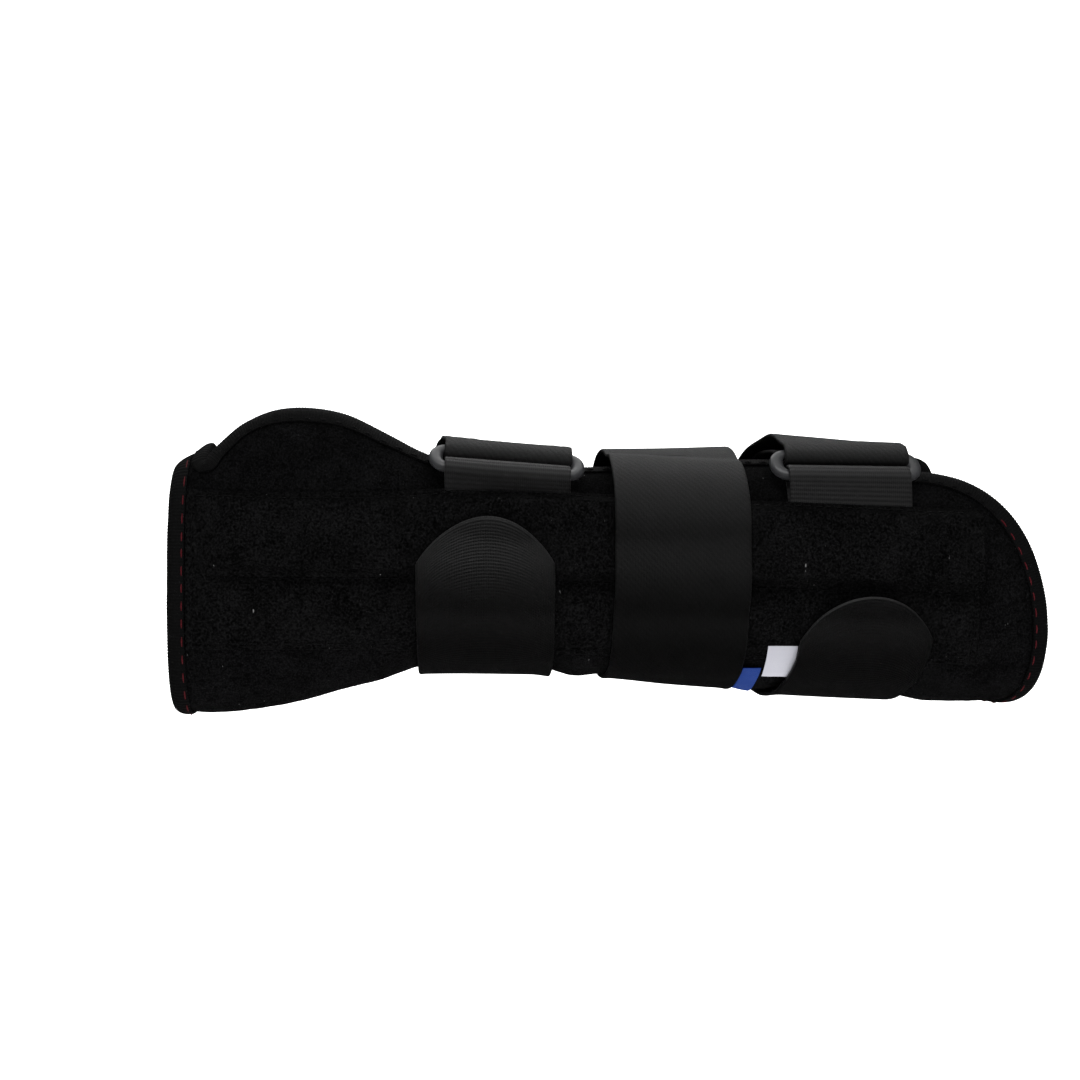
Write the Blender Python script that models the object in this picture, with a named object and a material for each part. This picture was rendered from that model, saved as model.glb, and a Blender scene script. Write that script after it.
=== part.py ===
"""Right-hand wrist splint: a padded forearm wrap with two stays, two ring straps and one wide strap.

Frame: +X runs along the arm from the hand to the elbow, +Z is the thumb side and -Y is the palm side.
The origin is on the arm's axis at the wrist crease. All lengths below are millimetres and the angles
are degrees; a mesh is turned into metres when its object is made.

Every soft layer is an offset of one inner form. A place on it is (x, s, h): x along the arm, s the
arc length round the arm from the palm-side line z = 0 (growing towards the thumb side), and h the
height above the inner form.
"""
import math
from functools import lru_cache

import bpy
import numpy as np

METRES_PER_MM = 0.001

# Inner form: x, little-finger-side z and thumb-side z of the arm inside the splint.
STATIONS = (
    (-92, -38.0, 27.0), (-80, -39.3, 29.0), (-70, -39.3, 36.0), (-60, -38.6, 44.0), (-48, -36.6, 49.8),
    (-35, -33.3, 49.0), (-21, -30.0, 41.5), (-8, -28.0, 33.5), (5, -27.2, 29.0), (20, -27.7, 27.6),
    (40, -30.0, 28.0), (65, -32.8, 29.2), (90, -35.0, 30.8), (115, -36.8, 31.5), (145, -38.4, 32.0),
    (190, -40.0, 34.0),
)
PALM_DEPTH = 19.9
PALM_DEPTH_SLOPE = 0.037
BACK_DEPTH = 18.6
BACK_DEPTH_SLOPE = 0.054
PALM_SQUARENESS = 2.7
BACK_SQUARENESS = 2.4
SECTION_POINTS = 480

# Laminate of the wrap: inner and outer height of each layer.
LINING = (0.0, 0.8)
FOAM = (1.1, 3.1)
COVER = (3.4, 4.1)
EDGE_SQUEEZE = 0.30
EDGE_SQUEEZE_REACH = 6.0
GAP = 0.3
STAY_GAP = 0.5
CLOTH_GAP = 0.5

# Outline of the wrap.
X_HAND_EDGE = -81.0
X_THUMB_HOLE = -72.0
X_CORNER = 141.0
X_ELBOW_EDGE = 180.0
X_BACK_EDGE = 171.0
PALM_CORNER_ARC = 56.0
BACK_CORNER_ARC = 50.0
WARP_START = 105.0
PALM_EDGE = (
    (-72.0, 30.5), (-70.4, 33.5), (-66.0, 38.3), (-61.0, 42.5), (-53.0, 45.8), (-42.0, 46.7), (-30.0, 44.7),
    (-18.0, 39.3), (-6.0, 34.2), (8.0, 32.5), (40.0, 33.5), (70.0, 35.0), (95.0, 36.5), (120.0, 33.0),
    (141.0, 29.5), (190.0, 29.5),
)
BACK_EDGE = (
    (-72.0, 74.0), (-60.0, 86.0), (-46.0, 87.0), (-32.0, 78.0), (-18.0, 64.0), (-5.0, 52.0), (8.0, 45.0),
    (40.0, 45.0), (70.0, 46.5), (95.0, 48.5), (120.0, 48.5), (141.0, 48.0), (190.0, 48.0),
)

# Binding tape folded round every edge of the wrap.
BINDING_REACH = 4.2
BINDING_TAPE = 0.7
TAPE_GAP = 0.85
LINING_TAPE_GAP = 1.0

# Palm panel: loop-pile pocket that holds the palm stay.
PANEL_X = (-76.5, 158.0)
PANEL_WIDTH = 44.5
PANEL_CHANNEL = 24.5
PANEL_SKIN = 0.9
PANEL_PUFF = 1.1
PANEL_BEND_X = -5.0
PANEL_SLOPE = -0.034
PANEL_TOP_S = 22.4

# Stays: length, width and thickness, and where each lies.
PALM_STAY = (210.0, 16.0, 1.6)
PALM_STAY_X = (-61.0, 149.0)
PALM_STAY_Z = (11.0, 5.3)
PALM_STAY_TILT = 3.5
BACK_STAY = (176.0, 18.0, 1.6)
BACK_STAY_X = (-46.0, 130.0)
BACK_STAY_Z = (-1.0, -3.5)
POCKET_X = (-54.0, 137.0)
POCKET_WIDTH = 32.0

# Straps.
STRAP_WIDTH = 40.0
STRAP_THICKNESS = 1.3
STRAP_GAP = 1.0
TAB_END_RADIUS = 23.0
HOOK_THICKNESS = 0.7
HOOK_INSET = 2.0
HOOK_LENGTH = 20.0
HOOK_SETBACK = 14.0
JOINT_GAP = 0.8
STRAP_PINCH = 2.4
DRAPE_RADIUS = 25.0
MIDDLE_STRAP_X = 66.8
DISTAL_COURSE = ((0.0, 16.6), (0.1, 16.2), (0.3, 14.0), (0.6, 11.0), (0.8, 9.5), (1.0, 9.0))
PROXIMAL_COURSE = (
    (0.0, 119.2), (0.08, 118.2), (0.2, 115.5), (0.4, 113.5), (0.6, 114.5), (0.79, 119.0), (0.9, 122.0),
    (1.0, 123.0),
)

# Rings and the elastic tabs that hold them.
RING_LENGTH = 46.3
RING_BAR_SPACING = 8.8
RING_CORNER_RADIUS = 4.0
RING_BAR_WIDTH = 3.4
RING_BAR_DEPTH = 2.8
RING_CLEARANCE = 0.5
RING_PINCH = 0.09
RING_TAB_WIDTH = 37.0
RING_TAB_THICKNESS = 1.0
BAR_HEIGHT = 8.3

# Colours, linear RGB.
BLACK_CLOTH = (0.006, 0.006, 0.007)
STRAP_CLOTH = (0.020, 0.020, 0.021)
RING_PLASTIC = (0.06, 0.06, 0.065)
BLUE_LABEL = (0.02, 0.08, 0.40)
WHITE_LABEL = (0.75, 0.75, 0.80)
ALUMINIUM = (0.75, 0.76, 0.78)
STAY_PLASTIC = (0.55, 0.56, 0.58)
FOAM_GREY = (0.10, 0.10, 0.11)


def smooth_table(table, x, column=1):
    """Value of a table at x on a smooth curve through its points."""
    xs = [row[0] for row in table]
    ys = [row[column] for row in table]
    x = min(max(x, xs[0]), xs[-1])
    i = min(max(int(np.searchsorted(xs, x)) - 1, 0), len(xs) - 2)

    def slope(k):
        a = max(k - 1, 0)
        b = min(k + 1, len(xs) - 1)
        return (ys[b] - ys[a]) / (xs[b] - xs[a])

    width = xs[i + 1] - xs[i]
    t = (x - xs[i]) / width
    blend = t * t * (3.0 - 2.0 * t)
    start = width * slope(i) * (t ** 3 - 2.0 * t * t + t)
    finish = width * slope(i + 1) * (t ** 3 - t * t)
    return ys[i] * (1.0 - blend) + ys[i + 1] * blend + start + finish


def smooth_step(t):
    t = min(max(t, 0.0), 1.0)
    return t * t * (3.0 - 2.0 * t)


def mix(a, b, t):
    return a + (b - a) * t


def strap_pinch(x):
    """0 away from the straps and 1 under them, where they pull the wrap in."""
    total = 0.0
    for centre in (9.0, MIDDLE_STRAP_X, 120.5):
        total += smooth_step((STRAP_WIDTH / 2 + 12.0 - abs(x - centre)) / 16.0)
    return min(total, 1.0)


@lru_cache(maxsize=None)
def section(x):
    """Cross-section of the inner form at x: arc length, y, z and outward normal, from the palm line."""
    low = smooth_table(STATIONS, x, 1) + STRAP_PINCH * strap_pinch(x)
    high = smooth_table(STATIONS, x, 2)
    palm = -PALM_DEPTH - PALM_DEPTH_SLOPE * x
    back = BACK_DEPTH + BACK_DEPTH_SLOPE * x
    y_mid = (palm + back) / 2.0
    z_mid = (low + high) / 2.0
    turn = np.linspace(0.0, 2.0 * math.pi, 1441)
    c = np.cos(turn)
    s = np.sin(turn)
    power = 2.0 / np.where(c >= 0.0, PALM_SQUARENESS, BACK_SQUARENESS)
    y = y_mid - (back - palm) / 2.0 * np.sign(c) * np.abs(c) ** power
    z = z_mid + (high - low) / 2.0 * np.sign(s) * np.abs(s) ** power
    start = int(np.argmin(np.where(y < y_mid, np.abs(z), 1e9)))
    y = np.append(np.roll(y[:-1], -start), y[start])
    z = np.append(np.roll(z[:-1], -start), z[start])
    y[-1] = y[0]
    z[-1] = z[0]
    arc = np.append(0.0, np.cumsum(np.hypot(np.diff(y), np.diff(z))))
    even = np.linspace(0.0, arc[-1], SECTION_POINTS + 1)
    past_line = z[0]
    y = np.interp(even, arc, y)
    z = np.interp(even, arc, z)
    ty = np.roll(y[:-1], -2) - np.roll(y[:-1], 2)
    tz = np.roll(z[:-1], -2) - np.roll(z[:-1], 2)
    size = np.hypot(ty, tz)
    ny = np.append(-tz / size, -tz[0] / size[0])
    nz = np.append(ty / size, ty[0] / size[0])
    return even, y, z, ny, nz, past_line


def girth(x):
    return float(section(round(x, 2))[0][-1])


def on_form(x, s, h=0.0):
    """Point at (x, s, h) in the part's frame."""
    arc, y, z, ny, nz, past_line = section(round(x, 2))
    s = (s - past_line) % arc[-1]
    n_y = np.interp(s, arc, ny)
    n_z = np.interp(s, arc, nz)
    size = math.hypot(n_y, n_z)
    return np.array((x, np.interp(s, arc, y) + h * n_y / size, np.interp(s, arc, z) + h * n_z / size))


def normal_at(x, s):
    n = on_form(x, s, 1.0) - on_form(x, s, 0.0)
    return n / np.linalg.norm(n)


def arc_at(x, z, palm_side=True):
    """Arc length where the section at x crosses height z on its palm side or its back."""
    arc, ys, zs, _, _, past_line = section(round(x, 2))
    y_mid = (ys.min() + ys.max()) / 2.0
    wanted = ys < y_mid if palm_side else ys > y_mid
    nearest = int(np.argmin(np.where(wanted, np.abs(zs - z), 1e9)))
    short = (z - zs[nearest]) * (1.0 if palm_side else -1.0)
    return float(arc[nearest] + short + past_line)


def locate(point):
    """(s, h) of a point near the form, in the section at the point's own x."""
    arc, ys, zs, ny, nz, past_line = section(round(float(point[0]), 2))
    k = int(np.argmin(np.hypot(ys - point[1], zs - point[2])))
    h = (point[1] - ys[k]) * ny[k] + (point[2] - zs[k]) * nz[k]
    along = -(point[1] - ys[k]) * nz[k] + (point[2] - zs[k]) * ny[k]
    return float(arc[k] + past_line - along), float(h)


def closed_solid(top, bottom, cells):
    """Vertices and triangles of a closed plate between two matching skins; cells are seen from above."""
    used = sorted({index for cell in cells for index in cell})
    place = {index: k for k, index in enumerate(used)}
    count = len(used)
    faces = []
    edges = set()
    for cell in cells:
        a, b, c, d = (place[index] for index in cell)
        faces += [(a, b, c), (a, c, d)]
        faces += [(count + a, count + c, count + b), (count + a, count + d, count + c)]
        edges.update(((a, b), (b, c), (c, d), (d, a)))
    for a, b in sorted(edges):
        if (b, a) not in edges:
            faces += [(b, a, count + a), (b, count + a, count + b)]
    return [top[i] for i in used] + [bottom[i] for i in used], faces


def grid_cells(rows, columns):
    """Quads of a grid whose first direction crossed with its second points out of the surface."""
    cells = []
    for i in range(rows - 1):
        for j in range(columns - 1):
            a = i * columns + j
            cells.append((a, a + columns, a + columns + 1, a + 1))
    return cells


def tube_faces(rings, around, closed_path):
    """Triangles of a swept section of `around` points at `rings` places, capped unless it closes."""
    faces = []
    for i in range(rings if closed_path else rings - 1):
        nxt = (i + 1) % rings
        for j in range(around):
            k = (j + 1) % around
            a, b, c, d = i * around + j, nxt * around + j, nxt * around + k, i * around + k
            faces += [(a, b, c), (a, c, d)]
    if not closed_path:
        last = (rings - 1) * around
        faces.append(tuple(range(around)))
        faces.append(tuple(last + j for j in range(around - 1, -1, -1)))
    return faces


@lru_cache(maxsize=None)
def material(name, colour, roughness, metallic=0.0):
    made = bpy.data.materials.new(name)
    made.use_nodes = True
    shader = made.node_tree.nodes["Principled BSDF"]
    shader.inputs["Base Color"].default_value = (*colour, 1.0)
    shader.inputs["Roughness"].default_value = roughness
    shader.inputs["Metallic"].default_value = metallic
    return made


def add_object(name, vertices, faces, finish, origin=(0.0, 0.0, 0.0)):
    """One named object; its origin is the given point, in millimetres, and its volume is positive."""
    origin = np.array(origin, dtype=float)
    points = np.array(vertices, dtype=float)
    volume = 0.0
    for face in faces:
        for k in range(1, len(face) - 1):
            volume += np.dot(points[face[0]], np.cross(points[face[k]], points[face[k + 1]]))
    if volume < 0.0:
        faces = [tuple(reversed(f)) for f in faces]
    mesh = bpy.data.meshes.new(name)
    local = (points - origin) * METRES_PER_MM
    mesh.from_pydata([tuple(p) for p in local], [], faces)
    mesh.materials.append(finish)
    mesh.shade_smooth()
    mesh.set_sharp_from_angle(angle=math.radians(50.0))
    obj = bpy.data.objects.new(name, mesh)
    obj.location = tuple(origin * METRES_PER_MM)
    bpy.context.scene.collection.objects.link(obj)
    return obj


# ---------------------------------------------------------------- the wrap and its binding

def elbow_edge_x(s_from_palm, girth_there):
    """x of the elbow-side edge at a distance round from the palm line (negative goes under the arm)."""
    palm_turn = -PALM_CORNER_ARC + smooth_table(PALM_EDGE, X_CORNER)
    back_turn = -girth_there + smooth_table(BACK_EDGE, X_CORNER) + BACK_CORNER_ARC
    if s_from_palm > palm_turn:
        across = min((s_from_palm - palm_turn) / PALM_CORNER_ARC, 1.0)
        return X_CORNER + (X_ELBOW_EDGE - X_CORNER) * (1.0 - across ** 2.4) ** (1.0 / 2.2)
    if s_from_palm > back_turn:
        return mix(X_BACK_EDGE, X_ELBOW_EDGE, smooth_step((s_from_palm - back_turn) / (palm_turn - back_turn)))
    across = min((back_turn - s_from_palm) / BACK_CORNER_ARC, 1.0)
    return X_CORNER + (X_BACK_EDGE - X_CORNER) * math.sqrt(1.0 - across * across)


def wrap_columns():
    """Fractions of the way round from the palm edge of the slit to its back edge."""
    inner = np.linspace(0.055, 0.945, 20)
    return [0.0, 0.008, 0.026, *inner, 0.974, 0.992, 1.0]


def wrap_rows():
    """x of the straight rows, then fractions of the way from the last of them to the elbow edge."""
    straight = [X_HAND_EDGE, -77.0, X_THUMB_HOLE, -70.4, -67.0, -62.0, -55.0, -46.0, -37.0, -27.0,
                -17.0, -5.0, 8.0, 26.0, 37.0, 48.0, 72.0, 85.0, 95.0, WARP_START]
    return straight, [0.3, 0.6, 0.86, 1.0]


def wrap_grid():
    """(x, s) of every grid point of the wrap and the cells that are cloth."""
    columns = wrap_columns()
    straight, warped = wrap_rows()
    bridge = [k / 8 for k in range(1, 8)]
    width = len(columns) + len(bridge)
    places = []
    for row in range(len(straight) + len(warped)):
        for v in columns:
            if row < len(straight):
                x = straight[row]
            else:
                here = girth(X_CORNER)
                around = mix(smooth_table(PALM_EDGE, X_CORNER), smooth_table(BACK_EDGE, X_CORNER) - here, v)
                x = mix(WARP_START, elbow_edge_x(around, here), warped[row - len(straight)])
            palm = smooth_table(PALM_EDGE, x)
            back = smooth_table(BACK_EDGE, x) - girth(x)
            places.append((x, mix(palm, back, v)))
        for v in bridge:
            x = straight[min(row, 2)]
            places.append((x, mix(smooth_table(BACK_EDGE, x), smooth_table(PALM_EDGE, x), v)))
    cells = []
    rows = len(straight) + len(warped)
    hole_row = straight.index(X_THUMB_HOLE)
    for i in range(rows - 1):
        for j in range(width):
            in_bridge = j >= len(columns) - 1
            if in_bridge and i >= hole_row:
                continue
            a = i * width + j
            b = i * width + (j + 1) % width
            cells.append((a, b, b + width, a + width))
    return places, cells


def border_loops(cells):
    """Rings of grid points that run round the border of a set of cells."""
    directed = set()
    for a, b, c, d in cells:
        directed.update(((a, b), (b, c), (c, d), (d, a)))
    following = {a: b for a, b in directed if (b, a) not in directed}
    loops = []
    while following:
        start = min(following)
        loop = [start]
        here = following.pop(start)
        while here != start:
            loop.append(here)
            here = following.pop(here)
        loops.append(loop)
    return loops


def distance_to(point, border):
    """Shortest distance from a point to a closed polyline."""
    a = border
    b = np.roll(border, -1, axis=0)
    along = b - a
    t = np.einsum("ij,ij->i", point - a, along) / np.einsum("ij,ij->i", along, along)
    nearest = a + np.clip(t, 0.0, 1.0)[:, None] * along
    return float(np.min(np.linalg.norm(nearest - point, axis=1)))


def squeeze(distance):
    """How far a layer's height is left of its full height, this far in from a bound edge."""
    return 1.0 - EDGE_SQUEEZE * math.exp(-distance / EDGE_SQUEEZE_REACH)


def make_wrap():
    """The three layers of the wrap, with the thumb hole, the web bridge and the slit in one piece."""
    places, cells = wrap_grid()
    base = [on_form(x, s) for x, s in places]
    borders = [np.array([base[k] for k in loop]) for loop in border_loops(cells)]
    factor = [squeeze(min(distance_to(point, border) for border in borders)) for point in base]
    layers = (("inner_lining", LINING, material("lining_cloth", BLACK_CLOTH, 0.9)),
              ("foam_core", FOAM, material("foam", FOAM_GREY, 0.9)),
              ("outer_cover", COVER, material("cover_velour", BLACK_CLOTH, 0.95)))
    for name, (low, high), finish in layers:
        top = [on_form(x, s, high * f) for (x, s), f in zip(places, factor)]
        bottom = [on_form(x, s, low * f) for (x, s), f in zip(places, factor)]
        add_object(name, *closed_solid(top, bottom, cells), finish)
    return places, cells


def binding_profile():
    """Closed U section as (distance in from the edge, height over the form)."""
    def outside(inward):
        return COVER[1] * squeeze(max(inward, 0.0)) + TAPE_GAP

    tape = BINDING_TAPE
    reach = BINDING_REACH
    inner = -LINING_TAPE_GAP
    return [(reach, outside(reach)), (reach, outside(reach) + tape), (-GAP - 0.4 * tape, outside(0.0) + tape),
            (-GAP - tape, outside(0.0)), (-GAP - tape, inner), (-GAP - 0.4 * tape, inner - tape),
            (reach, inner - tape), (reach, inner), (-GAP, inner), (-GAP, outside(0.0))]


def make_binding(name, places, loop):
    """Tape folded round one border loop of the wrap."""
    base = np.array([on_form(*places[k]) for k in loop])
    count = len(loop)
    profile = binding_profile()
    vertices = []
    for i in range(count):
        x, s = places[loop[i]]
        before = base[i] - base[i - 1]
        after = base[(i + 1) % count] - base[i]
        tangent = before / np.linalg.norm(before) + after / np.linalg.norm(after)
        normal = normal_at(x, s)
        tangent -= normal * np.dot(tangent, normal)
        tangent /= np.linalg.norm(tangent)
        inward = np.cross(normal, tangent)
        stretch = 1.0 / max(np.dot(tangent, after / np.linalg.norm(after)), 0.5)
        for distance, height in profile:
            point = base[i] + inward * distance * (stretch if distance < 0.0 else 1.0)
            s_there, _ = locate(point)
            vertices.append(on_form(float(point[0]), s_there, height))
    add_object(name, vertices, tube_faces(count, len(profile), True),
               material("binding_elastic", BLACK_CLOTH, 0.8))


# ---------------------------------------------------------------- stays and their pockets

class Stay:
    """A straight flat bar that slides along the arm in a pocket."""

    def __init__(self, name, size, x_range, z_range, palm_side, tilt, lift):
        self.name = name
        self.length, self.width, self.thickness = size
        side = -1.0 if palm_side else 1.0
        slope = -PALM_DEPTH_SLOPE if palm_side else BACK_DEPTH_SLOPE
        run = x_range[1] - x_range[0]
        axis = np.array((run, slope * run, z_range[1] - z_range[0]))
        self.axis = axis / np.linalg.norm(axis)
        out = np.array((0.0, side * math.cos(math.radians(tilt)), math.sin(math.radians(tilt))))
        out -= self.axis * np.dot(out, self.axis)
        self.out = out / np.linalg.norm(out)
        self.across = np.cross(self.out, self.axis)
        start = on_form(x_range[0], arc_at(x_range[0], z_range[0], palm_side))
        levels = []
        for step in np.linspace(0.0, 1.12, 24):
            for aside in np.linspace(-0.5, 0.5, 7):
                spot = start + self.axis * self.length * step + self.across * self.width * aside
                s, _ = locate(spot)
                levels.append(float(np.dot(on_form(float(spot[0]), s, COVER[1]) - start, self.out)))
        self.start = start + self.out * (max(levels) + lift)

    def roof_height(self, x, s):
        """Height over the form, along the normal at (x, s), of a plane just clear of the bar."""
        foot = on_form(x, s)
        normal = normal_at(x, s)
        rise = np.dot(self.start - foot, self.out) + self.thickness + STAY_GAP
        return float(rise / np.dot(normal, self.out))

    def aside(self, x, s):
        """Distance of (x, s) from the bar's middle line, across the bar."""
        return abs(float(np.dot(on_form(x, s) - self.start, self.across)))

    def make(self, finish):
        """Bar with half-round ends and softened edges."""
        half = self.width / 2.0
        outline = []
        for k in range(9):
            turn = math.radians(90.0 + 180.0 * k / 8)
            outline.append((half + half * math.cos(turn), half * math.sin(turn)))
        for k in range(9):
            turn = math.radians(-90.0 + 180.0 * k / 8)
            outline.append((self.length - half + half * math.cos(turn), half * math.sin(turn)))
        edge = 0.3
        rings = ((edge, 0.0), (0.0, edge), (0.0, self.thickness - edge), (edge, self.thickness))
        vertices = []
        for inset, level in rings:
            for along, aside in outline:
                along = mix(along, self.length / 2.0, 2.0 * inset / self.length)
                aside = aside * (1.0 - inset / half)
                vertices.append(self.start + self.axis * along + self.across * aside + self.out * level)
        add_object(self.name, vertices, tube_faces(len(rings), len(outline), False), finish,
                   origin=self.start)


def panel_top(x):
    """Arc length of the palm panel's thumb-side edge."""
    return PANEL_TOP_S + PANEL_SLOPE * max(x - PANEL_BEND_X, 0.0)


def panel_valley(x):
    return panel_top(x) - PANEL_CHANNEL


def panel_bottom(x):
    return panel_top(x) - PANEL_WIDTH


def edge_rise(distance, reach=3.0):
    return smooth_step(distance / reach)


def panel_heights(stay, x, s):
    """Inner and outer height of the palm panel: a channel over the stay and a lightly padded one."""
    flat = COVER[1] + CLOTH_GAP
    inner = flat
    outer = flat + PANEL_SKIN
    hand_end = x - (PANEL_X[0] + 5.0)
    rise = edge_rise(stay.width / 2.0 + 3.0 - stay.aside(x, s), 2.4) * edge_rise(hand_end, 8.0)
    if rise > 0.0:
        roof = max(stay.roof_height(x, s), flat)
        inner = mix(flat, roof, rise)
        outer = inner + PANEL_SKIN
    into_pad = min(s - panel_bottom(x), panel_valley(x) - s)
    ends = min(x - PANEL_X[0], PANEL_X[1] - x)
    outer += PANEL_PUFF * edge_rise(into_pad, 7.0) * edge_rise(ends, 8.0)
    return inner, outer


def make_palm_panel(stay):
    rows = [PANEL_X[0], -73.5, -69.0, -64.5, -56.0, -46.0, -37.0, -27.0, -17.0, -5.0, 8.0, 26.0, 37.0, 48.0,
            72.0, 85.0, 95.0, 105.0, 115.0, 127.0, 139.0, 152.0, PANEL_X[1]]
    steps = [0.0, 0.06, 0.14, 0.27, 0.40, 0.50, 0.53, 0.56, 0.60, 0.67, 0.76, 0.86, 0.925, 0.965, 1.0]
    top, bottom = [], []
    for x in rows:
        for step in steps:
            s = mix(panel_bottom(x), panel_top(x), step)
            inner, outer = panel_heights(stay, x, s)
            top.append(on_form(x, s, outer))
            bottom.append(on_form(x, s, inner))
    cells = grid_cells(len(rows), len(steps))
    add_object("palm_panel", *closed_solid(top, bottom, cells), material("loop_pile", BLACK_CLOTH, 1.0))


def pocket_centre(x):
    """Arc length of the middle of the back pocket."""
    share = (x - BACK_STAY_X[0]) / (BACK_STAY_X[1] - BACK_STAY_X[0])
    return arc_at(x, mix(*BACK_STAY_Z, share), palm_side=False)


def pocket_heights(stay, x, s):
    flat = COVER[1] + CLOTH_GAP
    rise = edge_rise(stay.width / 2.0 + 4.5 - stay.aside(x, s), 3.5)
    rise *= edge_rise(x - POCKET_X[0] - 1.0, 5.0)
    inner = flat
    if rise > 0.0:
        inner = mix(flat, max(stay.roof_height(x, s), flat), rise)
    return inner, inner + PANEL_SKIN


def make_back_pocket(stay):
    rows = [POCKET_X[0], -51.0, -48.0, *np.linspace(-42.0, 130.0, 11), POCKET_X[1]]
    offsets = [-16.0, -14.6, -13.0, -11.5, -9.4, -5.0, 0.0, 5.0, 9.4, 11.5, 13.0, 14.6, 16.0]
    top, bottom = [], []
    for x in rows:
        for offset in offsets:
            s = pocket_centre(x) + offset
            inner, outer = pocket_heights(stay, x, s)
            top.append(on_form(x, s, outer))
            bottom.append(on_form(x, s, inner))
    cells = grid_cells(len(rows), len(offsets))
    add_object("back_pocket", *closed_solid(top, bottom, cells), material("loop_pile", BLACK_CLOTH, 1.0))


# ---------------------------------------------------------------- rings, tabs and straps

class Ring:
    """Oblong ring lying across the thumb-side corner, hinged in its elastic tab."""

    def __init__(self, name, x, s, slant):
        self.name = name
        self.x = x
        self.centre = on_form(x, s, BAR_HEIGHT)
        along = on_form(x + 20.0, s - slant) - on_form(x - 20.0, s + slant)
        self.along = along / np.linalg.norm(along)
        up = on_form(x, s + 4.0, 0.0) - on_form(x, s - 4.0, 0.0)
        up -= self.along * np.dot(up, self.along)
        self.up = up / np.linalg.norm(up)
        self.out = np.cross(self.along, self.up)
        lowest = min(self.bar(side, offset)[1] for side in (-1.0, 1.0) for offset in spread(STRAP_WIDTH))
        self.centre = self.centre + self.out * (BAR_HEIGHT - lowest)
        self.low_bar = self.centre - self.up * RING_BAR_SPACING / 2.0

    def near_bar(self, side, offset, beside=0.0, above=0.0):
        """(x, s, h) of a point beside one of the two long bars (side -1 is the hinged one)."""
        point = self.centre + self.along * offset + self.up * (side * RING_BAR_SPACING / 2.0 + beside)
        point = point + self.out * above
        return (float(point[0]), *locate(point))

    def from_bar(self, side, point):
        """Distances of a point from a long bar, in the ring's plane and out of it."""
        away = point - self.centre - self.up * side * RING_BAR_SPACING / 2.0
        return float(np.dot(away, self.up)), float(np.dot(away, self.out))

    def bar(self, side, offset):
        """Arc length and height of a long bar."""
        return self.near_bar(side, offset)[1:]

    def make(self):
        """Round-sectioned bar swept round an oblong with rounded corners."""
        half_long = (RING_LENGTH - RING_BAR_WIDTH) / 2.0 - RING_CORNER_RADIUS
        half_wide = RING_BAR_SPACING / 2.0 - RING_CORNER_RADIUS
        path = []
        for k in range(20):
            turn = math.radians(90.0 * (k // 5) + 22.5 * (k % 5))
            middle = math.radians(90.0 * (k // 5) + 45.0)
            path.append((math.copysign(half_long, math.cos(middle)) + RING_CORNER_RADIUS * math.cos(turn),
                         math.copysign(half_wide, math.sin(middle)) + RING_CORNER_RADIUS * math.sin(turn),
                         math.cos(turn), math.sin(turn)))
        vertices = []
        for a, b, da, db in path:
            for k in range(8):
                turn = 2.0 * math.pi * (k + 0.5) / 8
                wide = RING_BAR_WIDTH / 2.0 * math.cos(turn)
                deep = RING_BAR_DEPTH / 2.0 * math.sin(turn)
                vertices.append(self.centre + self.along * (a + da * wide) + self.up * (b + db * wide)
                                + self.out * deep)
        add_object(self.name, vertices, tube_faces(len(path), 8, True),
                   material("ring_plastic", RING_PLASTIC, 0.35), origin=self.low_bar)


def unit(vectors):
    return vectors / np.linalg.norm(vectors, axis=-1, keepdims=True)


def middle_directions(points, axis):
    """Unit direction of a grid of points along one axis, halfway between its neighbours' directions."""
    steps = unit(np.diff(points, axis=axis))
    first = np.take(steps, [0], axis=axis)
    last = np.take(steps, [-1], axis=axis)
    return unit(np.concatenate((first, steps), axis=axis) + np.concatenate((steps, last), axis=axis))


def band(name, path, thickness, x_offsets, finish, origin=(0.0, 0.0, 0.0)):
    """Strap of even thickness: path(offset) lists (x, s, h) of its middle line at one place across."""
    middle = np.array([[on_form(*place) for place in path(offset)] for offset in x_offsets])
    out = unit(np.cross(middle_directions(middle, 0), middle_directions(middle, 1)))
    top = (middle + out * thickness / 2.0).reshape(-1, 3)
    bottom = (middle - out * thickness / 2.0).reshape(-1, 3)
    cells = grid_cells(*middle.shape[:2])
    add_object(name, *closed_solid(list(top), list(bottom), cells), finish, origin)


def spread(width, count=5):
    return [mix(-width / 2.0, width / 2.0, k / (count - 1)) for k in range(count)]


def draped(top_of, x, s):
    """Height at which a taut band lies over a surface: it bridges dips and rounds off steps."""
    best = 0.0
    for shift in np.arange(-12.0, 12.1, 1.5):
        best = max(best, top_of(x, s + shift) - shift * shift / (2.0 * DRAPE_RADIUS))
    return best


def hinge_point(line):
    """Middle of a crease, as high over its two ends as its highest point; line runs across the strap."""
    middle = (line[0] + line[-1]) / 2.0
    s, _ = locate(middle)
    out = normal_at(float(middle[0]), s)
    return middle + out * max(float(np.dot(point - middle, out)) for point in line)


def tab_setback(offset):
    """How far a strap's round end is drawn back at one place across it."""
    return TAB_END_RADIUS - math.sqrt(TAB_END_RADIUS ** 2 - offset ** 2)


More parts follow.
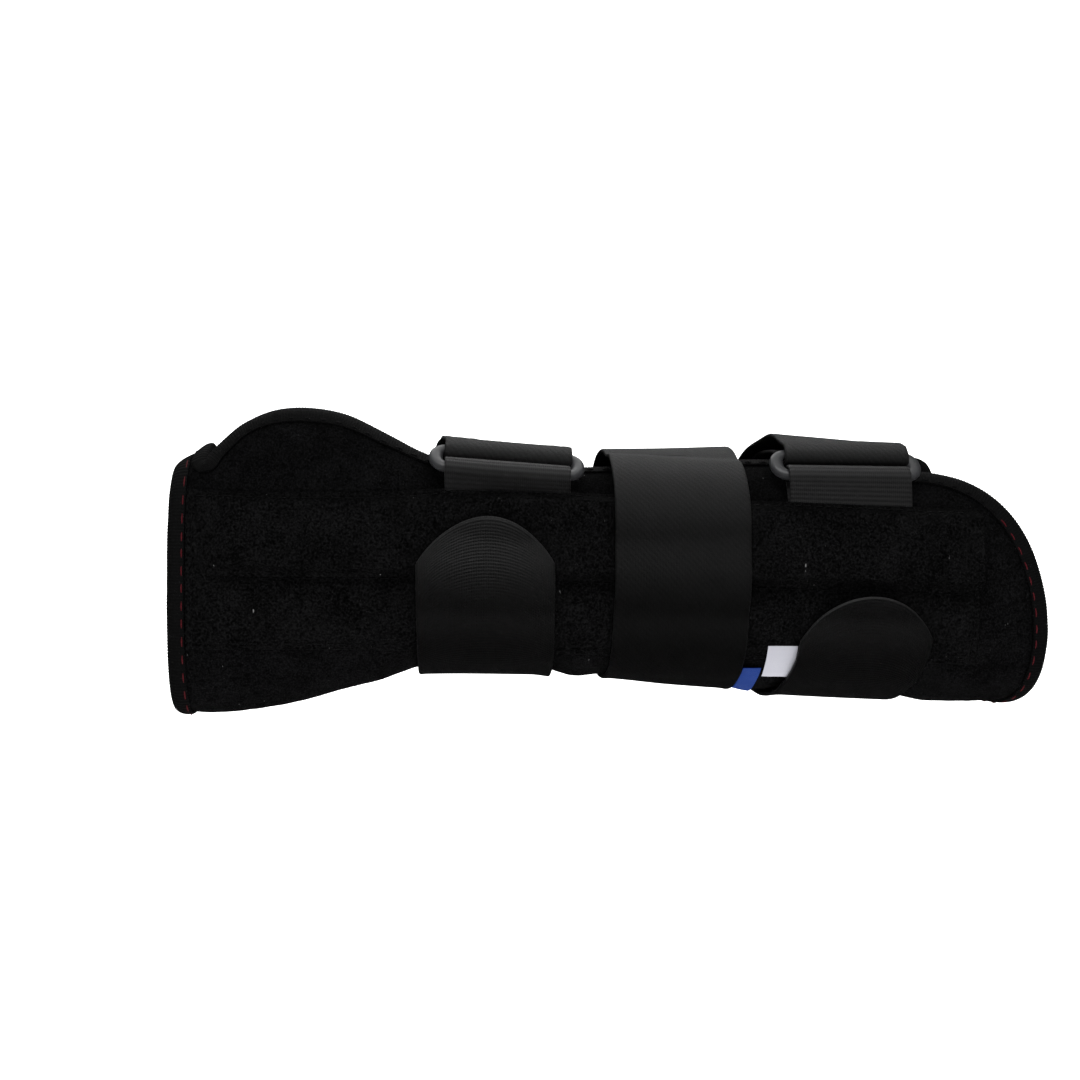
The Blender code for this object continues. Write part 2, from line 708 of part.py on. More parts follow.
class Surface:
    """Top of what already lies on the wrap, for the straps to rest on."""

    def __init__(self, palm_stay, back_stay):
        self.palm_stay = palm_stay
        self.back_stay = back_stay

    def wrap(self, x, s):
        """Cover, binding at the slit, palm panel and back pocket."""
        round_trip = girth(x)
        s = s % round_trip
        height = COVER[1]
        palm = smooth_table(PALM_EDGE, x)
        back = smooth_table(BACK_EDGE, x)
        if palm - BINDING_REACH < s < back + BINDING_REACH:
            height = COVER[1] * squeeze(BINDING_REACH) + TAPE_GAP + BINDING_TAPE
        from_palm = s if s < round_trip / 2.0 else s - round_trip
        if panel_bottom(x) <= from_palm <= panel_top(x):
            height = panel_heights(self.palm_stay, x, from_palm)[1]
        near_pocket = POCKET_X[0] <= x <= POCKET_X[1] + STRAP_WIDTH / 4
        if near_pocket and abs(s - pocket_centre(x)) <= POCKET_WIDTH / 2.0:
            height = pocket_heights(self.back_stay, x, s)[1]
        return height


class RingStrap:
    """Strap sewn to the back flap, threaded through a ring and wrapped round to the palm panel.

    The course lists (share of the way from the ring to the round end, x of the strap's middle).
    """

    def __init__(self, label, ring, surface, course, tab_end_s, side_s, back_s, lift):
        self.label = label
        self.ring = ring
        self.surface = surface
        self.course = course
        self.tab_end_s = tab_end_s
        self.side_s = side_s
        self.back_s = back_s
        self.lift = lift
        self.finish = material("strap_elastic", STRAP_CLOTH, 0.75)
        self.bar_s = ring.bar(1.0, 0.0)[0]
        self.turn_s = RING_BAR_WIDTH / 2.0 + RING_CLEARANCE + STRAP_THICKNESS / 2.0
        self.turn_h = RING_BAR_DEPTH / 2.0 + RING_CLEARANCE + STRAP_THICKNESS / 2.0
        self.fold_end = self.bar_s + 9.0
        self.round_trip = girth(course[-1][1])
        past_bar = back_s + self.round_trip - self.bar_s
        share = past_bar / (self.round_trip + tab_end_s - self.bar_s)
        self.back_ends = []
        for offset in (-STRAP_WIDTH / 2.0, STRAP_WIDTH / 2.0):
            x = self.place(share, past_bar, offset)
            self.back_ends.append((x, on_form(x, back_s + girth(x))[2]))

    def arc_of(self, place, x):
        """Arc length of a place on the strap at x; beside the back crease it keeps to a straight line."""
        s = place[0] + place[1] * girth(x)
        if place[1] and abs(place[0] - self.back_s) < 2.0:
            (x_a, z_a), (x_b, z_b) = self.back_ends
            straight = arc_at(x, mix(z_a, z_b, (x - x_a) / (x_b - x_a)), palm_side=False)
            s += straight - self.back_s - girth(x)
        return s

    def place(self, share, past_bar, offset):
        """x of a line along the strap, which draws in where it passes the ring."""
        drawn_in = RING_PINCH * (1.0 - smooth_step(past_bar / 12.0))
        return smooth_table(self.course, share) + offset * (1.0 - drawn_in)

    def base_height(self, x, s):
        """Middle of the sewn run that lies on the wrap."""
        rest = draped(self.surface.wrap, x, s) + STRAP_GAP + STRAP_THICKNESS / 2.0
        _, ring_s, ringside = self.ring.near_bar(1.0, x - self.ring.x, RING_BAR_WIDTH / 2.0, -self.turn_h)
        return mix(ringside, rest, smooth_step((s - ring_s) / 10.0))

    def base_end(self, x):
        return pocket_centre(x) - POCKET_WIDTH / 2.0 - 3.0

    def beneath(self, x, s):
        """Top of the wrap with the sewn run on it."""
        height = self.surface.wrap(x, s)
        if s % girth(x) < self.base_end(x) + 1.0 and s > self.bar_s:
            height = max(height, self.base_height(x, s) + STRAP_THICKNESS / 2.0)
        return height

    def run_height(self, x, s, offset):
        """Middle of the outer run."""
        half = STRAP_THICKNESS / 2.0
        top_of = self.beneath if s < girth(x) * 0.75 else self.surface.wrap
        rest = draped(top_of, x, s) + STRAP_GAP + half
        _, ring_s, ringside = self.ring.near_bar(1.0, offset, RING_BAR_WIDTH / 2.0, self.turn_h)
        near_ring = 1.0 - smooth_step((s - ring_s) / 8.0)
        past_bar = s - self.bar_s
        over_corner = smooth_step((past_bar - RING_BAR_WIDTH / 2.0) / 6.0) * math.exp(-(past_bar / 16.0) ** 2)
        tilt = self.lift * over_corner * (0.5 - offset / STRAP_WIDTH)
        hooked = HOOK_THICKNESS + CLOTH_GAP
        in_tab = smooth_step((s - (girth(x) + self.side_s) + 8.0) / 8.0)
        return max(mix(rest, ringside, near_ring), rest) + tilt + hooked * in_tab

    def stretch(self, start, finish, count, offset):
        """Points of the outer run between two places, each an arc length and a number of full turns."""
        line = []
        for k in range(count):
            share = k / (count - 1)
            nominal = mix(start[0] + start[1] * self.round_trip, finish[0] + finish[1] * self.round_trip, share)
            past_bar = nominal - self.bar_s
            x = self.place(past_bar / (self.round_trip + self.tab_end_s - self.bar_s), past_bar, offset)
            s = mix(self.arc_of(start, x), self.arc_of(finish, x), share)
            line.append((x, s, self.run_height(x, s, offset)))
        return line

    def crease(self, place):
        """Middle of the line over the strap's outer face where a stretch of it hinges."""
        line = []
        for offset in spread(STRAP_WIDTH):
            x, s, h = self.stretch(place, (place[0] + 1.0, place[1]), 2, offset)[0]
            line.append(on_form(x, s, h + STRAP_THICKNESS / 2.0))
        return hinge_point(line)

    def fold_path(self, offset):
        """Under the ring's far bar, round it and back over itself."""
        aside = self.place(0.0, 0.0, offset) - self.ring.x
        half_bar = RING_BAR_WIDTH / 2.0
        past_bar = self.ring.near_bar(1.0, aside, half_bar)[1] + 1.5
        line = []
        for s in np.linspace(self.fold_end, past_bar, 3):
            x = self.place(0.0, float(s) - self.bar_s, offset)
            line.append((x, float(s), self.base_height(x, float(s))))
        line.append(self.ring.near_bar(1.0, aside, half_bar, -self.turn_h))
        for k in range(9):
            turn = math.radians(-90.0 - 180.0 * k / 8)
            line.append(self.ring.near_bar(1.0, aside, self.turn_s * math.cos(turn), self.turn_h * math.sin(turn)))
        line.append(self.ring.near_bar(1.0, aside, half_bar, self.turn_h))
        line += self.stretch((past_bar, 0), (self.fold_end, 0), 3, offset)
        return line[::-1]

    def base_path(self, offset):
        start = self.fold_end + JOINT_GAP
        finish = self.base_end(self.ring.x + offset)
        line = []
        for s in np.linspace(start, finish, 6):
            x = self.place(0.0, float(s) - self.bar_s, offset)
            line.append((x, float(s), self.base_height(x, float(s))))
        return line

    def tab_path(self, offset):
        """From the side crease to the round end, whose corners are set back."""
        return self.stretch((self.side_s, 1), (self.tab_end_s - tab_setback(offset), 1), 12, offset)

    def hook_path(self, offset):
        """Hook patch on the inner face of the tab."""
        finish = self.tab_end_s - HOOK_SETBACK
        drop = STRAP_THICKNESS / 2.0 + CLOTH_GAP + HOOK_THICKNESS / 2.0
        line = self.stretch((finish - HOOK_LENGTH, 1), (finish, 1), 9, offset)
        return [(x, s, h - drop) for x, s, h in line]

    def make(self):
        across = spread(STRAP_WIDTH)
        name = self.label + "_strap"
        band(name + "_fold", self.fold_path, STRAP_THICKNESS, across, self.finish, self.ring.low_bar)
        band(name + "_base", self.base_path, STRAP_THICKNESS, across, self.finish)
        run = ((self.fold_end + JOINT_GAP, 0), (self.back_s - JOINT_GAP, 1))
        side = ((self.back_s, 1), (self.side_s - JOINT_GAP, 1))
        band(name + "_run", lambda o: self.stretch(*run, 15, o), STRAP_THICKNESS, across, self.finish)
        band(name + "_side", lambda o: self.stretch(*side, 9, o), STRAP_THICKNESS, across, self.finish,
             self.crease(side[0]))
        side_hinge = self.crease((self.side_s, 1))
        band(name + "_tab", self.tab_path, STRAP_THICKNESS, spread(STRAP_WIDTH, 9), self.finish, side_hinge)
        band(self.label + "_hook_patch", self.hook_path, HOOK_THICKNESS,
             spread(STRAP_WIDTH - 2.0 * HOOK_INSET), material("hook_tape", BLACK_CLOTH, 0.7), side_hinge)


def make_ring_tab(label, ring):
    """Elastic loop from the panel's edge round the ring's near bar and back."""
    half = RING_TAB_THICKNESS / 2.0
    turn_s = RING_BAR_WIDTH / 2.0 + RING_CLEARANCE + half
    turn_h = RING_BAR_DEPTH / 2.0 + RING_CLEARANCE + half
    leaves = RING_TAB_THICKNESS + GAP
    sewn_low = COVER[1] + CLOTH_GAP + half

    def path(offset):
        x = ring.x + offset
        low = (x, panel_top(x) + CLOTH_GAP, sewn_low)
        high = (*low[:2], sewn_low + leaves)
        beside, above = ring.from_bar(-1.0, on_form(*low))
        facing = math.atan2(above, beside) + 2.0 * math.pi
        spread_angle = math.acos(turn_s / math.hypot(beside, above))
        loop = []
        for turn in np.linspace(facing + spread_angle - 2.0 * math.pi, facing - spread_angle, 12):
            loop.append(ring.near_bar(-1.0, offset, turn_s * math.cos(turn), turn_h * math.sin(turn)))
        under = [tuple(mix(np.array(low), np.array(loop[0]), t)) for t in (0.0, 0.5)]
        over = [tuple(mix(np.array(loop[-1]), np.array(high), t)) for t in (0.5, 1.0)]
        return (under + loop + over)[::-1]

    band(label + "_ring_tab", path, RING_TAB_THICKNESS, spread(RING_TAB_WIDTH, 4),
         material("tab_elastic", STRAP_CLOTH, 0.8))


class MiddleStrap:
    """Wide strap sewn to the little-finger side of the back, closing over the slit onto the back."""

    def __init__(self, surface):
        self.surface = surface
        self.x = MIDDLE_STRAP_X
        self.finish = material("strap_elastic", STRAP_CLOTH, 0.75)
        self.start = (POCKET_WIDTH / 2.0 + 3.0, 0, 1)
        self.palm_corner = (31.0, 1, 0)
        self.back_corner = (66.0, 1, 0)
        self.end = (12.0, 1, 1)

    def height(self, x, s, offset):
        rest = draped(self.surface.wrap, x, s) + STRAP_GAP + STRAP_THICKNESS / 2.0
        over_slit = math.exp(-((s - girth(x) - 42.0) / 12.0) ** 2)
        lift = (1.6 + 1.2 * (0.5 - offset / STRAP_WIDTH)) * over_slit
        in_tab = smooth_step((s - girth(x) - self.back_corner[0] + 10.0) / 8.0)
        return rest + lift + (HOOK_THICKNESS + CLOTH_GAP) * in_tab

    def stretch(self, start, finish, count, offset):
        """Points between two places: an arc length, full turns and whether it counts from the pocket."""
        x = self.x + offset
        first, last = (a + turns * girth(x) + back * pocket_centre(x) for a, turns, back in (start, finish))
        line = []
        for k in range(count):
            s = mix(first, last, k / (count - 1))
            line.append((x, s, self.height(x, s, offset)))
        return line

    def crease(self, place):
        line = []
        for offset in spread(STRAP_WIDTH):
            x, s, h = self.stretch(place, (place[0] + 1.0, *place[1:]), 2, offset)[0]
            line.append(on_form(x, s, h + STRAP_THICKNESS / 2.0))
        return hinge_point(line)

    def tab_path(self, offset):
        finish = (self.end[0] - tab_setback(offset), 1, 1)
        return self.stretch(self.back_corner, finish, 12, offset)

    def hook_path(self, offset):
        finish = self.end[0] - HOOK_SETBACK
        drop = STRAP_THICKNESS / 2.0 + CLOTH_GAP + HOOK_THICKNESS / 2.0
        line = self.stretch((finish - HOOK_LENGTH, 1, 1), (finish, 1, 1), 7, offset)
        return [(x, s, h - drop) for x, s, h in line]

    def make(self):
        across = spread(STRAP_WIDTH)
        before_palm = (self.palm_corner[0] - JOINT_GAP, *self.palm_corner[1:])
        before_back = (self.back_corner[0] - JOINT_GAP, *self.back_corner[1:])
        band("middle_strap_base", lambda o: self.stretch(self.start, before_palm, 28, o), STRAP_THICKNESS,
             across, self.finish)
        band("middle_strap_bridge", lambda o: self.stretch(self.palm_corner, before_back, 9, o),
             STRAP_THICKNESS, across, self.finish, self.crease(self.palm_corner))
        back_hinge = self.crease(self.back_corner)
        band("middle_strap_tab", self.tab_path, STRAP_THICKNESS, spread(STRAP_WIDTH, 9), self.finish, back_hinge)
        band("middle_hook_patch", self.hook_path, HOOK_THICKNESS, spread(STRAP_WIDTH - 2.0 * HOOK_INSET),
             material("hook_tape", BLACK_CLOTH, 0.7), back_hinge)


def make_label(name, x_range, s_range, surface, finish):
    """Small cloth label lying on the wrap beside the panel."""
    top, bottom = [], []
    rows = np.linspace(*x_range, 3)
    columns = np.linspace(*s_range, 6)
    for x in rows:
        for s in columns:
            rest = draped(surface.wrap, float(x), float(s)) + CLOTH_GAP
            top.append(on_form(float(x), float(s), rest + 0.4))
            bottom.append(on_form(float(x), float(s), rest))
    add_object(name, *closed_solid(top, bottom, grid_cells(len(rows), len(columns))), finish)


def main():
    for obj in list(bpy.data.objects):
        bpy.data.objects.remove(obj)
    places, cells = make_wrap()
    for loop in border_loops(cells):
        at_hand = all(places[k][0] < X_THUMB_HOLE for k in loop)
        make_binding("hand_binding" if at_hand else "slit_binding", places, loop)
    palm_stay = Stay("palm_stay", PALM_STAY, PALM_STAY_X, PALM_STAY_Z, True, PALM_STAY_TILT, 0.8)
    back_stay = Stay("back_stay", BACK_STAY, BACK_STAY_X, BACK_STAY_Z, False, 0.0, 1.2)
    palm_stay.make(material("stay_aluminium", ALUMINIUM, 0.35, 1.0))
    back_stay.make(material("stay_plastic", STAY_PLASTIC, 0.4))
    make_palm_panel(palm_stay)
    make_back_pocket(back_stay)
    surface = Surface(palm_stay, back_stay)
    near_hand = Ring("distal_ring", 16.2, 26.0, 1.1)
    near_elbow = Ring("proximal_ring", 118.5, 27.3, 0.3)
    straps = (
        RingStrap("distal", near_hand, surface, DISTAL_COURSE, tab_end_s=13.5, side_s=-35.0, back_s=-63.0,
                  lift=1.0),
        RingStrap("proximal", near_elbow, surface, PROXIMAL_COURSE, tab_end_s=-7.5, side_s=-45.0,
                  back_s=-84.0, lift=3.0),
    )
    for strap in straps:
        strap.ring.make()
        make_ring_tab(strap.label, strap.ring)
        strap.make()
    MiddleStrap(surface).make()
    make_label("size_label", (87.3, 92.6), (-40.5, -27.5), surface, material("label_blue", BLUE_LABEL, 0.6))
    make_label("care_label", (93.4, 102.4), (-30.2, -20.8), surface, material("label_white", WHITE_LABEL, 0.7))


main()
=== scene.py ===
"""Wrist splint: fabric layers, straps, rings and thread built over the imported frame.

Lengths inside this script are millimetres unless a name says otherwise; a mesh is turned into metres
when its object is made. A place on the wrap is (x, s, h): x along the arm, s the arc length round the
arm from the palm line z = 0 towards the thumb side, h the height above the inner form.
"""
import math

import bpy
import numpy as np
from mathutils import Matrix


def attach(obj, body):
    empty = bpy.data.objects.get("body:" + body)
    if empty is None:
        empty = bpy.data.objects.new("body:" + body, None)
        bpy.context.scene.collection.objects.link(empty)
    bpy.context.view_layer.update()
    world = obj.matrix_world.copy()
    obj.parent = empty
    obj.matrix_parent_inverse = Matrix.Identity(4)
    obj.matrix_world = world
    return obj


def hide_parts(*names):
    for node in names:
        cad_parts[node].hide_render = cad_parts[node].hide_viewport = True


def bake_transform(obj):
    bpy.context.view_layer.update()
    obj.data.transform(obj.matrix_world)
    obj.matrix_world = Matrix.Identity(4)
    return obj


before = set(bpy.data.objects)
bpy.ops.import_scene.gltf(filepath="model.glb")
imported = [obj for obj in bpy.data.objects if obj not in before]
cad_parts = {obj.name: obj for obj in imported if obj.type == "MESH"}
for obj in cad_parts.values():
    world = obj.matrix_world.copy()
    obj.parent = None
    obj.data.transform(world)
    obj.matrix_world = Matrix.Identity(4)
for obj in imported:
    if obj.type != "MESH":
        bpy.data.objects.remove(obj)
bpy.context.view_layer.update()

MM = 0.001

# ---------------- camera, stage and light

CAMERA_AT = (-0.0123, -0.3728, 0.0088)
CAMERA_YAW = math.radians(6.2)
SENSOR_WIDTH = 36.0
FOCAL_TO_WIDTH = 1196.0 / 1080.0

camera = bpy.data.objects.new("camera", bpy.data.cameras.new("camera"))
camera.data.sensor_width = SENSOR_WIDTH
camera.data.lens = FOCAL_TO_WIDTH * SENSOR_WIDTH
camera.data.clip_start = 0.01
camera.location = CAMERA_AT
camera.rotation_euler = (math.radians(90.0), 0.0, -CAMERA_YAW)
bpy.context.scene.collection.objects.link(camera)
bpy.context.scene.camera = camera
bpy.context.scene.view_settings.view_transform = "Standard"


def area_light(name, location, target, size, watts):
    """Rectangular lamp that faces a point, its places and sides in metres."""
    data = bpy.data.lights.new(name, "AREA")
    data.shape = "RECTANGLE"
    data.size, data.size_y = size
    data.energy = watts
    light = bpy.data.objects.new(name, data)
    light.location = location
    toward = np.array(target) - np.array(location)
    tilt = math.atan2(math.hypot(toward[0], toward[1]), -toward[2])
    light.rotation_euler = (tilt, 0.0, math.atan2(toward[0], -toward[1]) + math.pi)
    bpy.context.scene.collection.objects.link(light)


area_light("top_softbox", (0.02, -0.45, 0.86), (0.03, 0.0, 0.0), (0.9, 0.35), 6.0)
area_light("back_softbox", (0.05, 0.45, 0.80), (0.03, 0.0, 0.0), (0.9, 0.4), 4.0)

world = bpy.data.worlds.new("world")
world.use_nodes = True
background = world.node_tree.nodes["Background"]
background.inputs["Color"].default_value = (1.0, 1.0, 1.0, 1.0)
background.inputs["Strength"].default_value = 1.0
bpy.context.scene.world = world
world.cycles_visibility.glossy = False


# ---------------- the inner form

STATIONS = (
    (-92, -38.0, 27.0), (-80, -39.3, 29.0), (-70, -39.3, 36.0), (-60, -38.6, 44.0), (-48, -36.6, 49.8),
    (-35, -33.3, 49.0), (-21, -30.0, 41.5), (-8, -28.0, 33.5), (5, -27.2, 29.0), (20, -27.7, 27.6),
    (40, -30.0, 28.0), (65, -32.8, 29.2), (90, -35.0, 30.8), (115, -36.8, 31.5), (145, -38.4, 32.0),
    (190, -40.0, 34.0),
)
PALM_DEPTH = (19.9, 0.037)
BACK_DEPTH = (18.6, 0.054)
PALM_SQUARENESS = 2.7
BACK_SQUARENESS = 2.4
STRAP_CENTRES = (9.0, 66.8, 120.5)
STRAP_PINCH = 2.4
PINCH_REACH = 32.0
PINCH_SLOPE = 16.0

LINING = (0.0, 0.8)
FOAM = (0.9, 3.2)
COVER = (3.3, 4.1)
EDGE_SQUEEZE = 0.30
EDGE_SQUEEZE_REACH = 6.0
EDGE_STEP = 0.45
FAR = 1e9

X_HAND_EDGE = -81.0
X_THUMB_HOLE = -72.0
X_CORNER = 141.0
X_ELBOW_EDGE = 180.0
X_BACK_EDGE = 171.0
PALM_CORNER_ARC = 56.0
BACK_CORNER_ARC = 50.0
WARP_START = 105.0
PALM_EDGE = (
    (-72.0, 30.5), (-70.4, 33.5), (-66.0, 38.3), (-61.0, 42.5), (-53.0, 45.8), (-42.0, 46.7), (-30.0, 44.7),
    (-18.0, 39.3), (-6.0, 34.2), (8.0, 32.5), (40.0, 33.5), (70.0, 35.0), (95.0, 36.5), (120.0, 33.0),
    (141.0, 29.5), (190.0, 29.5),
)
BACK_EDGE = (
    (-72.0, 74.0), (-60.0, 86.0), (-46.0, 87.0), (-32.0, 78.0), (-18.0, 64.0), (-5.0, 52.0), (8.0, 45.0),
    (40.0, 45.0), (70.0, 46.5), (95.0, 48.5), (120.0, 48.5), (141.0, 48.0), (190.0, 48.0),
)

FORM_STEP = 0.5
FORM_X = np.arange(-96.0, 196.01, FORM_STEP)
FORM_POINTS = 480
SECTION_TURNS = 1440
LOCATE_BATCH = 4000


def smooth_table(table, x):
    """Value of a table at x on a smooth curve through its points."""
    xs, ys = np.array(table, dtype=float).T
    x = np.clip(x, xs[0], xs[-1])
    i = np.clip(np.searchsorted(xs, x) - 1, 0, len(xs) - 2)
    before = np.maximum(np.arange(len(xs)) - 1, 0)
    after = np.minimum(np.arange(len(xs)) + 1, len(xs) - 1)
    slope = (ys[after] - ys[before]) / (xs[after] - xs[before])
    width = xs[i + 1] - xs[i]
    t = (x - xs[i]) / width
    blend = t * t * (3.0 - 2.0 * t)
    return (ys[i] * (1.0 - blend) + ys[i + 1] * blend + width * slope[i] * (t ** 3 - 2.0 * t * t + t)
            + width * slope[i + 1] * (t ** 3 - t * t))


def smooth_step(t):
    t = np.clip(t, 0.0, 1.0)
    return t * t * (3.0 - 2.0 * t)


def mix(a, b, t):
    return a + (b - a) * t


def unit(vectors):
    return vectors / np.linalg.norm(vectors, axis=-1, keepdims=True)


def arc_along(line):
    """Length along a line of points at each of them."""
    return np.append(0.0, np.cumsum(np.linalg.norm(np.diff(line, axis=0), axis=1)))


def bilinear(table, i, j, k, m, p, q):
    """Value of a table between rows i and k and columns j and m, at shares p and q of the way."""
    return (table[i, j] * (1 - p) * (1 - q) + table[k, j] * p * (1 - q)
            + table[i, m] * (1 - p) * q + table[k, m] * p * q)


def value_noise(u, v, scale, seed):
    """Smooth random values from -1 to 1 with features about `scale` across."""
    lattice = np.random.default_rng(seed).random((256, 256)) * 2.0 - 1.0
    a, b = u / scale, v / scale
    i, j = np.floor(a).astype(int), np.floor(b).astype(int)
    p, q = smooth_step(a - i), smooth_step(b - j)
    i, j, k, m = i & 255, j & 255, (i + 1) & 255, (j + 1) & 255
    return bilinear(lattice, i, j, k, m, p, q)


def section(x):
    """Cross-section of the inner form at x: girth, y, z, outward normal and offset of the palm line."""
    pinch = sum(smooth_step((PINCH_REACH - abs(x - centre)) / PINCH_SLOPE) for centre in STRAP_CENTRES)
    low = smooth_table([row[:2] for row in STATIONS], x) + STRAP_PINCH * min(pinch, 1.0)
    high = smooth_table([row[::2] for row in STATIONS], x)
    palm = -PALM_DEPTH[0] - PALM_DEPTH[1] * x
    back = BACK_DEPTH[0] + BACK_DEPTH[1] * x
    y_mid, z_mid = (palm + back) / 2.0, (low + high) / 2.0
    turn = np.linspace(0.0, 2.0 * math.pi, SECTION_TURNS + 1)
    c, s = np.cos(turn), np.sin(turn)
    power = 2.0 / np.where(c >= 0.0, PALM_SQUARENESS, BACK_SQUARENESS)
    y = y_mid - (back - palm) / 2.0 * np.sign(c) * np.abs(c) ** power
    z = z_mid + (high - low) / 2.0 * np.sign(s) * np.abs(s) ** power
    start = int(np.argmin(np.where(y < y_mid, np.abs(z), FAR)))
    y = np.append(np.roll(y[:-1], -start), y[start])
    z = np.append(np.roll(z[:-1], -start), z[start])
    arc = np.append(0.0, np.cumsum(np.hypot(np.diff(y), np.diff(z))))
    even = np.linspace(0.0, arc[-1], FORM_POINTS + 1)
    past_line = z[0]
    y, z = np.interp(even, arc, y), np.interp(even, arc, z)
    ty = np.roll(y[:-1], -2) - np.roll(y[:-1], 2)
    tz = np.roll(z[:-1], -2) - np.roll(z[:-1], 2)
    size = np.hypot(ty, tz)
    ny, nz = np.append(-tz / size, -tz[0] / size[0]), np.append(ty / size, ty[0] / size[0])
    return arc[-1], y, z, ny, nz, past_line


_sections = [section(float(x)) for x in FORM_X]
GIRTH = np.array([s[0] for s in _sections])
FORM = np.array([s[1:5] for s in _sections])
PAST_LINE = np.array([s[5] for s in _sections])


def girth(x):
    return np.interp(x, FORM_X, GIRTH)


def form_row(x):
    """Row of the form before each x, and the share of the way to the next one."""
    f = (x - FORM_X[0]) / FORM_STEP
    i = np.clip(f.astype(int), 0, len(FORM_X) - 2)
    return i, f - i


def form_lookup(x, s):
    """y, z and unit normal of the inner form at (x, s)."""
    i, t = form_row(x)
    total = 0.0
    for row, weight in ((i, 1.0 - t), (i + 1, t)):
        u = ((s - PAST_LINE[row]) % GIRTH[row]) / GIRTH[row] * FORM_POINTS
        k = np.minimum(u.astype(int), FORM_POINTS - 1)
        v = u - k
        total = total + weight * (FORM[row, :, k] * (1.0 - v)[..., None]
                                  + FORM[row, :, k + 1] * v[..., None]).transpose(-1, *range(x.ndim))
    size = np.hypot(total[2], total[3])
    return total[0], total[1], total[2] / size, total[3] / size


def on_form(x, s, h=0.0):
    """Points at (x, s, h) in the part's frame."""
    x, s, h = (np.asarray(a, dtype=float) for a in np.broadcast_arrays(x, s, h))
    y, z, ny, nz = form_lookup(x, s)
    return np.stack((x, y + h * ny, z + h * nz), axis=-1)


def normal_at(x, s):
    x, s = (np.asarray(a, dtype=float) for a in np.broadcast_arrays(x, s))
    _, _, ny, nz = form_lookup(x, s)
    return np.stack((np.zeros_like(ny), ny, nz), axis=-1)


def locate(points):
    """(s, h) of points near the form, each in the section at its own x."""
    flat = np.asarray(points, dtype=float).reshape(-1, 3)
    s_out, h_out = np.empty(len(flat)), np.empty(len(flat))
    for begin in range(0, len(flat), LOCATE_BATCH):
        p = flat[begin:begin + LOCATE_BATCH]
        i, t = form_row(p[:, 0])
        found = []
        for row in (i, i + 1):
            dy, dz = p[:, 1:2] - FORM[row, 0], p[:, 2:3] - FORM[row, 1]
            k = np.argmin(dy * dy + dz * dz, axis=1)
            pick = np.arange(len(p))
            ny, nz = FORM[row, 2, k], FORM[row, 3, k]
            dy, dz = dy[pick, k], dz[pick, k]
            s = k * GIRTH[row] / FORM_POINTS + PAST_LINE[row] + dy * nz - dz * ny
            found.append((s, dy * ny + dz * nz))
        first, second = found
        turns = np.round((first[0] - second[0]) / GIRTH[i])
        s_out[begin:begin + len(p)] = mix(first[0], second[0] + turns * GIRTH[i + 1], t)
        h_out[begin:begin + len(p)] = mix(first[1], second[1], t)
    shape = np.asarray(points).shape[:-1]
    return s_out.reshape(shape), h_out.reshape(shape)


def arc_at(x, z, side):
    """Arc length where the section at x crosses height z on its back (side 1) or its palm (side -1)."""
    row = int(round((x - FORM_X[0]) / FORM_STEP))
    ys, zs = FORM[row, :2]
    middle = (ys.min() + ys.max()) / 2.0
    nearest = int(np.argmin(np.where(side * (ys - middle) > 0.0, np.abs(zs - z), FAR)))
    return nearest * GIRTH[row] / FORM_POINTS - side * (z - zs[nearest]) + PAST_LINE[row]


# ---------------- meshes

def shown(name, points, faces, finish, body, node=None, uv=None, sharp=50.0):
    points = np.asarray(points, dtype=float)
    mesh = bpy.data.meshes.new(name)
    if isinstance(faces, np.ndarray):
        corners = faces.ravel().astype(np.int32)
        mesh.vertices.add(len(points))
        mesh.vertices.foreach_set("co", (points * MM).astype(np.float32).ravel())
        mesh.loops.add(len(corners))
        mesh.loops.foreach_set("vertex_index", corners)
        mesh.polygons.add(len(faces))
        mesh.polygons.foreach_set("loop_start", np.arange(len(faces), dtype=np.int32) * faces.shape[1])
        mesh.update(calc_edges=True)
    else:
        mesh.from_pydata((points * MM).tolist(), [], [tuple(f) for f in faces])
        corners = np.array([v for f in faces for v in f])
    if uv is not None:
        layer = mesh.uv_layers.new(name="cloth")
        layer.data.foreach_set("uv", (np.asarray(uv, dtype=float) * MM)[corners].astype(np.float32).ravel())
    mesh.materials.append(finish)
    mesh.shade_smooth()
    mesh.set_sharp_from_angle(angle=math.radians(sharp))
    obj = bpy.data.objects.new(name, mesh)
    bpy.context.scene.collection.objects.link(obj)
    if isinstance(body, str):
        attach(obj, body)
    else:
        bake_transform(obj)
    if node:
        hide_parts(node)
    return obj


def border_edges(cells, count):
    """Edges that only one cell has, in that cell's direction."""
    edges = np.concatenate([cells[:, [k, (k + 1) % 4]] for k in range(4)])
    keys = edges[:, 0].astype(np.int64) * count + edges[:, 1]
    back = edges[:, 1].astype(np.int64) * count + edges[:, 0]
    return edges[~np.isin(keys, back)]


def plate(name, top, bottom, uv, cells, finish, body, node, sharp=50.0):
    """Closed plate: an outer skin, an inner skin and the rim between them."""
    points = np.concatenate((top.reshape(-1, 3), bottom.reshape(-1, 3)))
    count = len(points) // 2
    rim = border_edges(cells, count)
    rim = np.column_stack((rim[:, 1], rim[:, 0], rim[:, 0] + count, rim[:, 1] + count))
    faces = np.concatenate((cells, cells[:, ::-1] + count, rim))
    return shown(name, points, faces, finish, body, node, uv=np.concatenate((uv, uv)), sharp=sharp)


def grid_cells(rows, columns):
    a = (np.arange(rows - 1)[:, None] * columns + np.arange(columns - 1)).ravel()
    return np.column_stack((a, a + columns, a + columns + 1, a + 1))


def skins(middle):
    """Unit direction out of a grid of points, from its neighbours."""
    return unit(np.cross(np.gradient(middle, axis=0), np.gradient(middle, axis=1)))


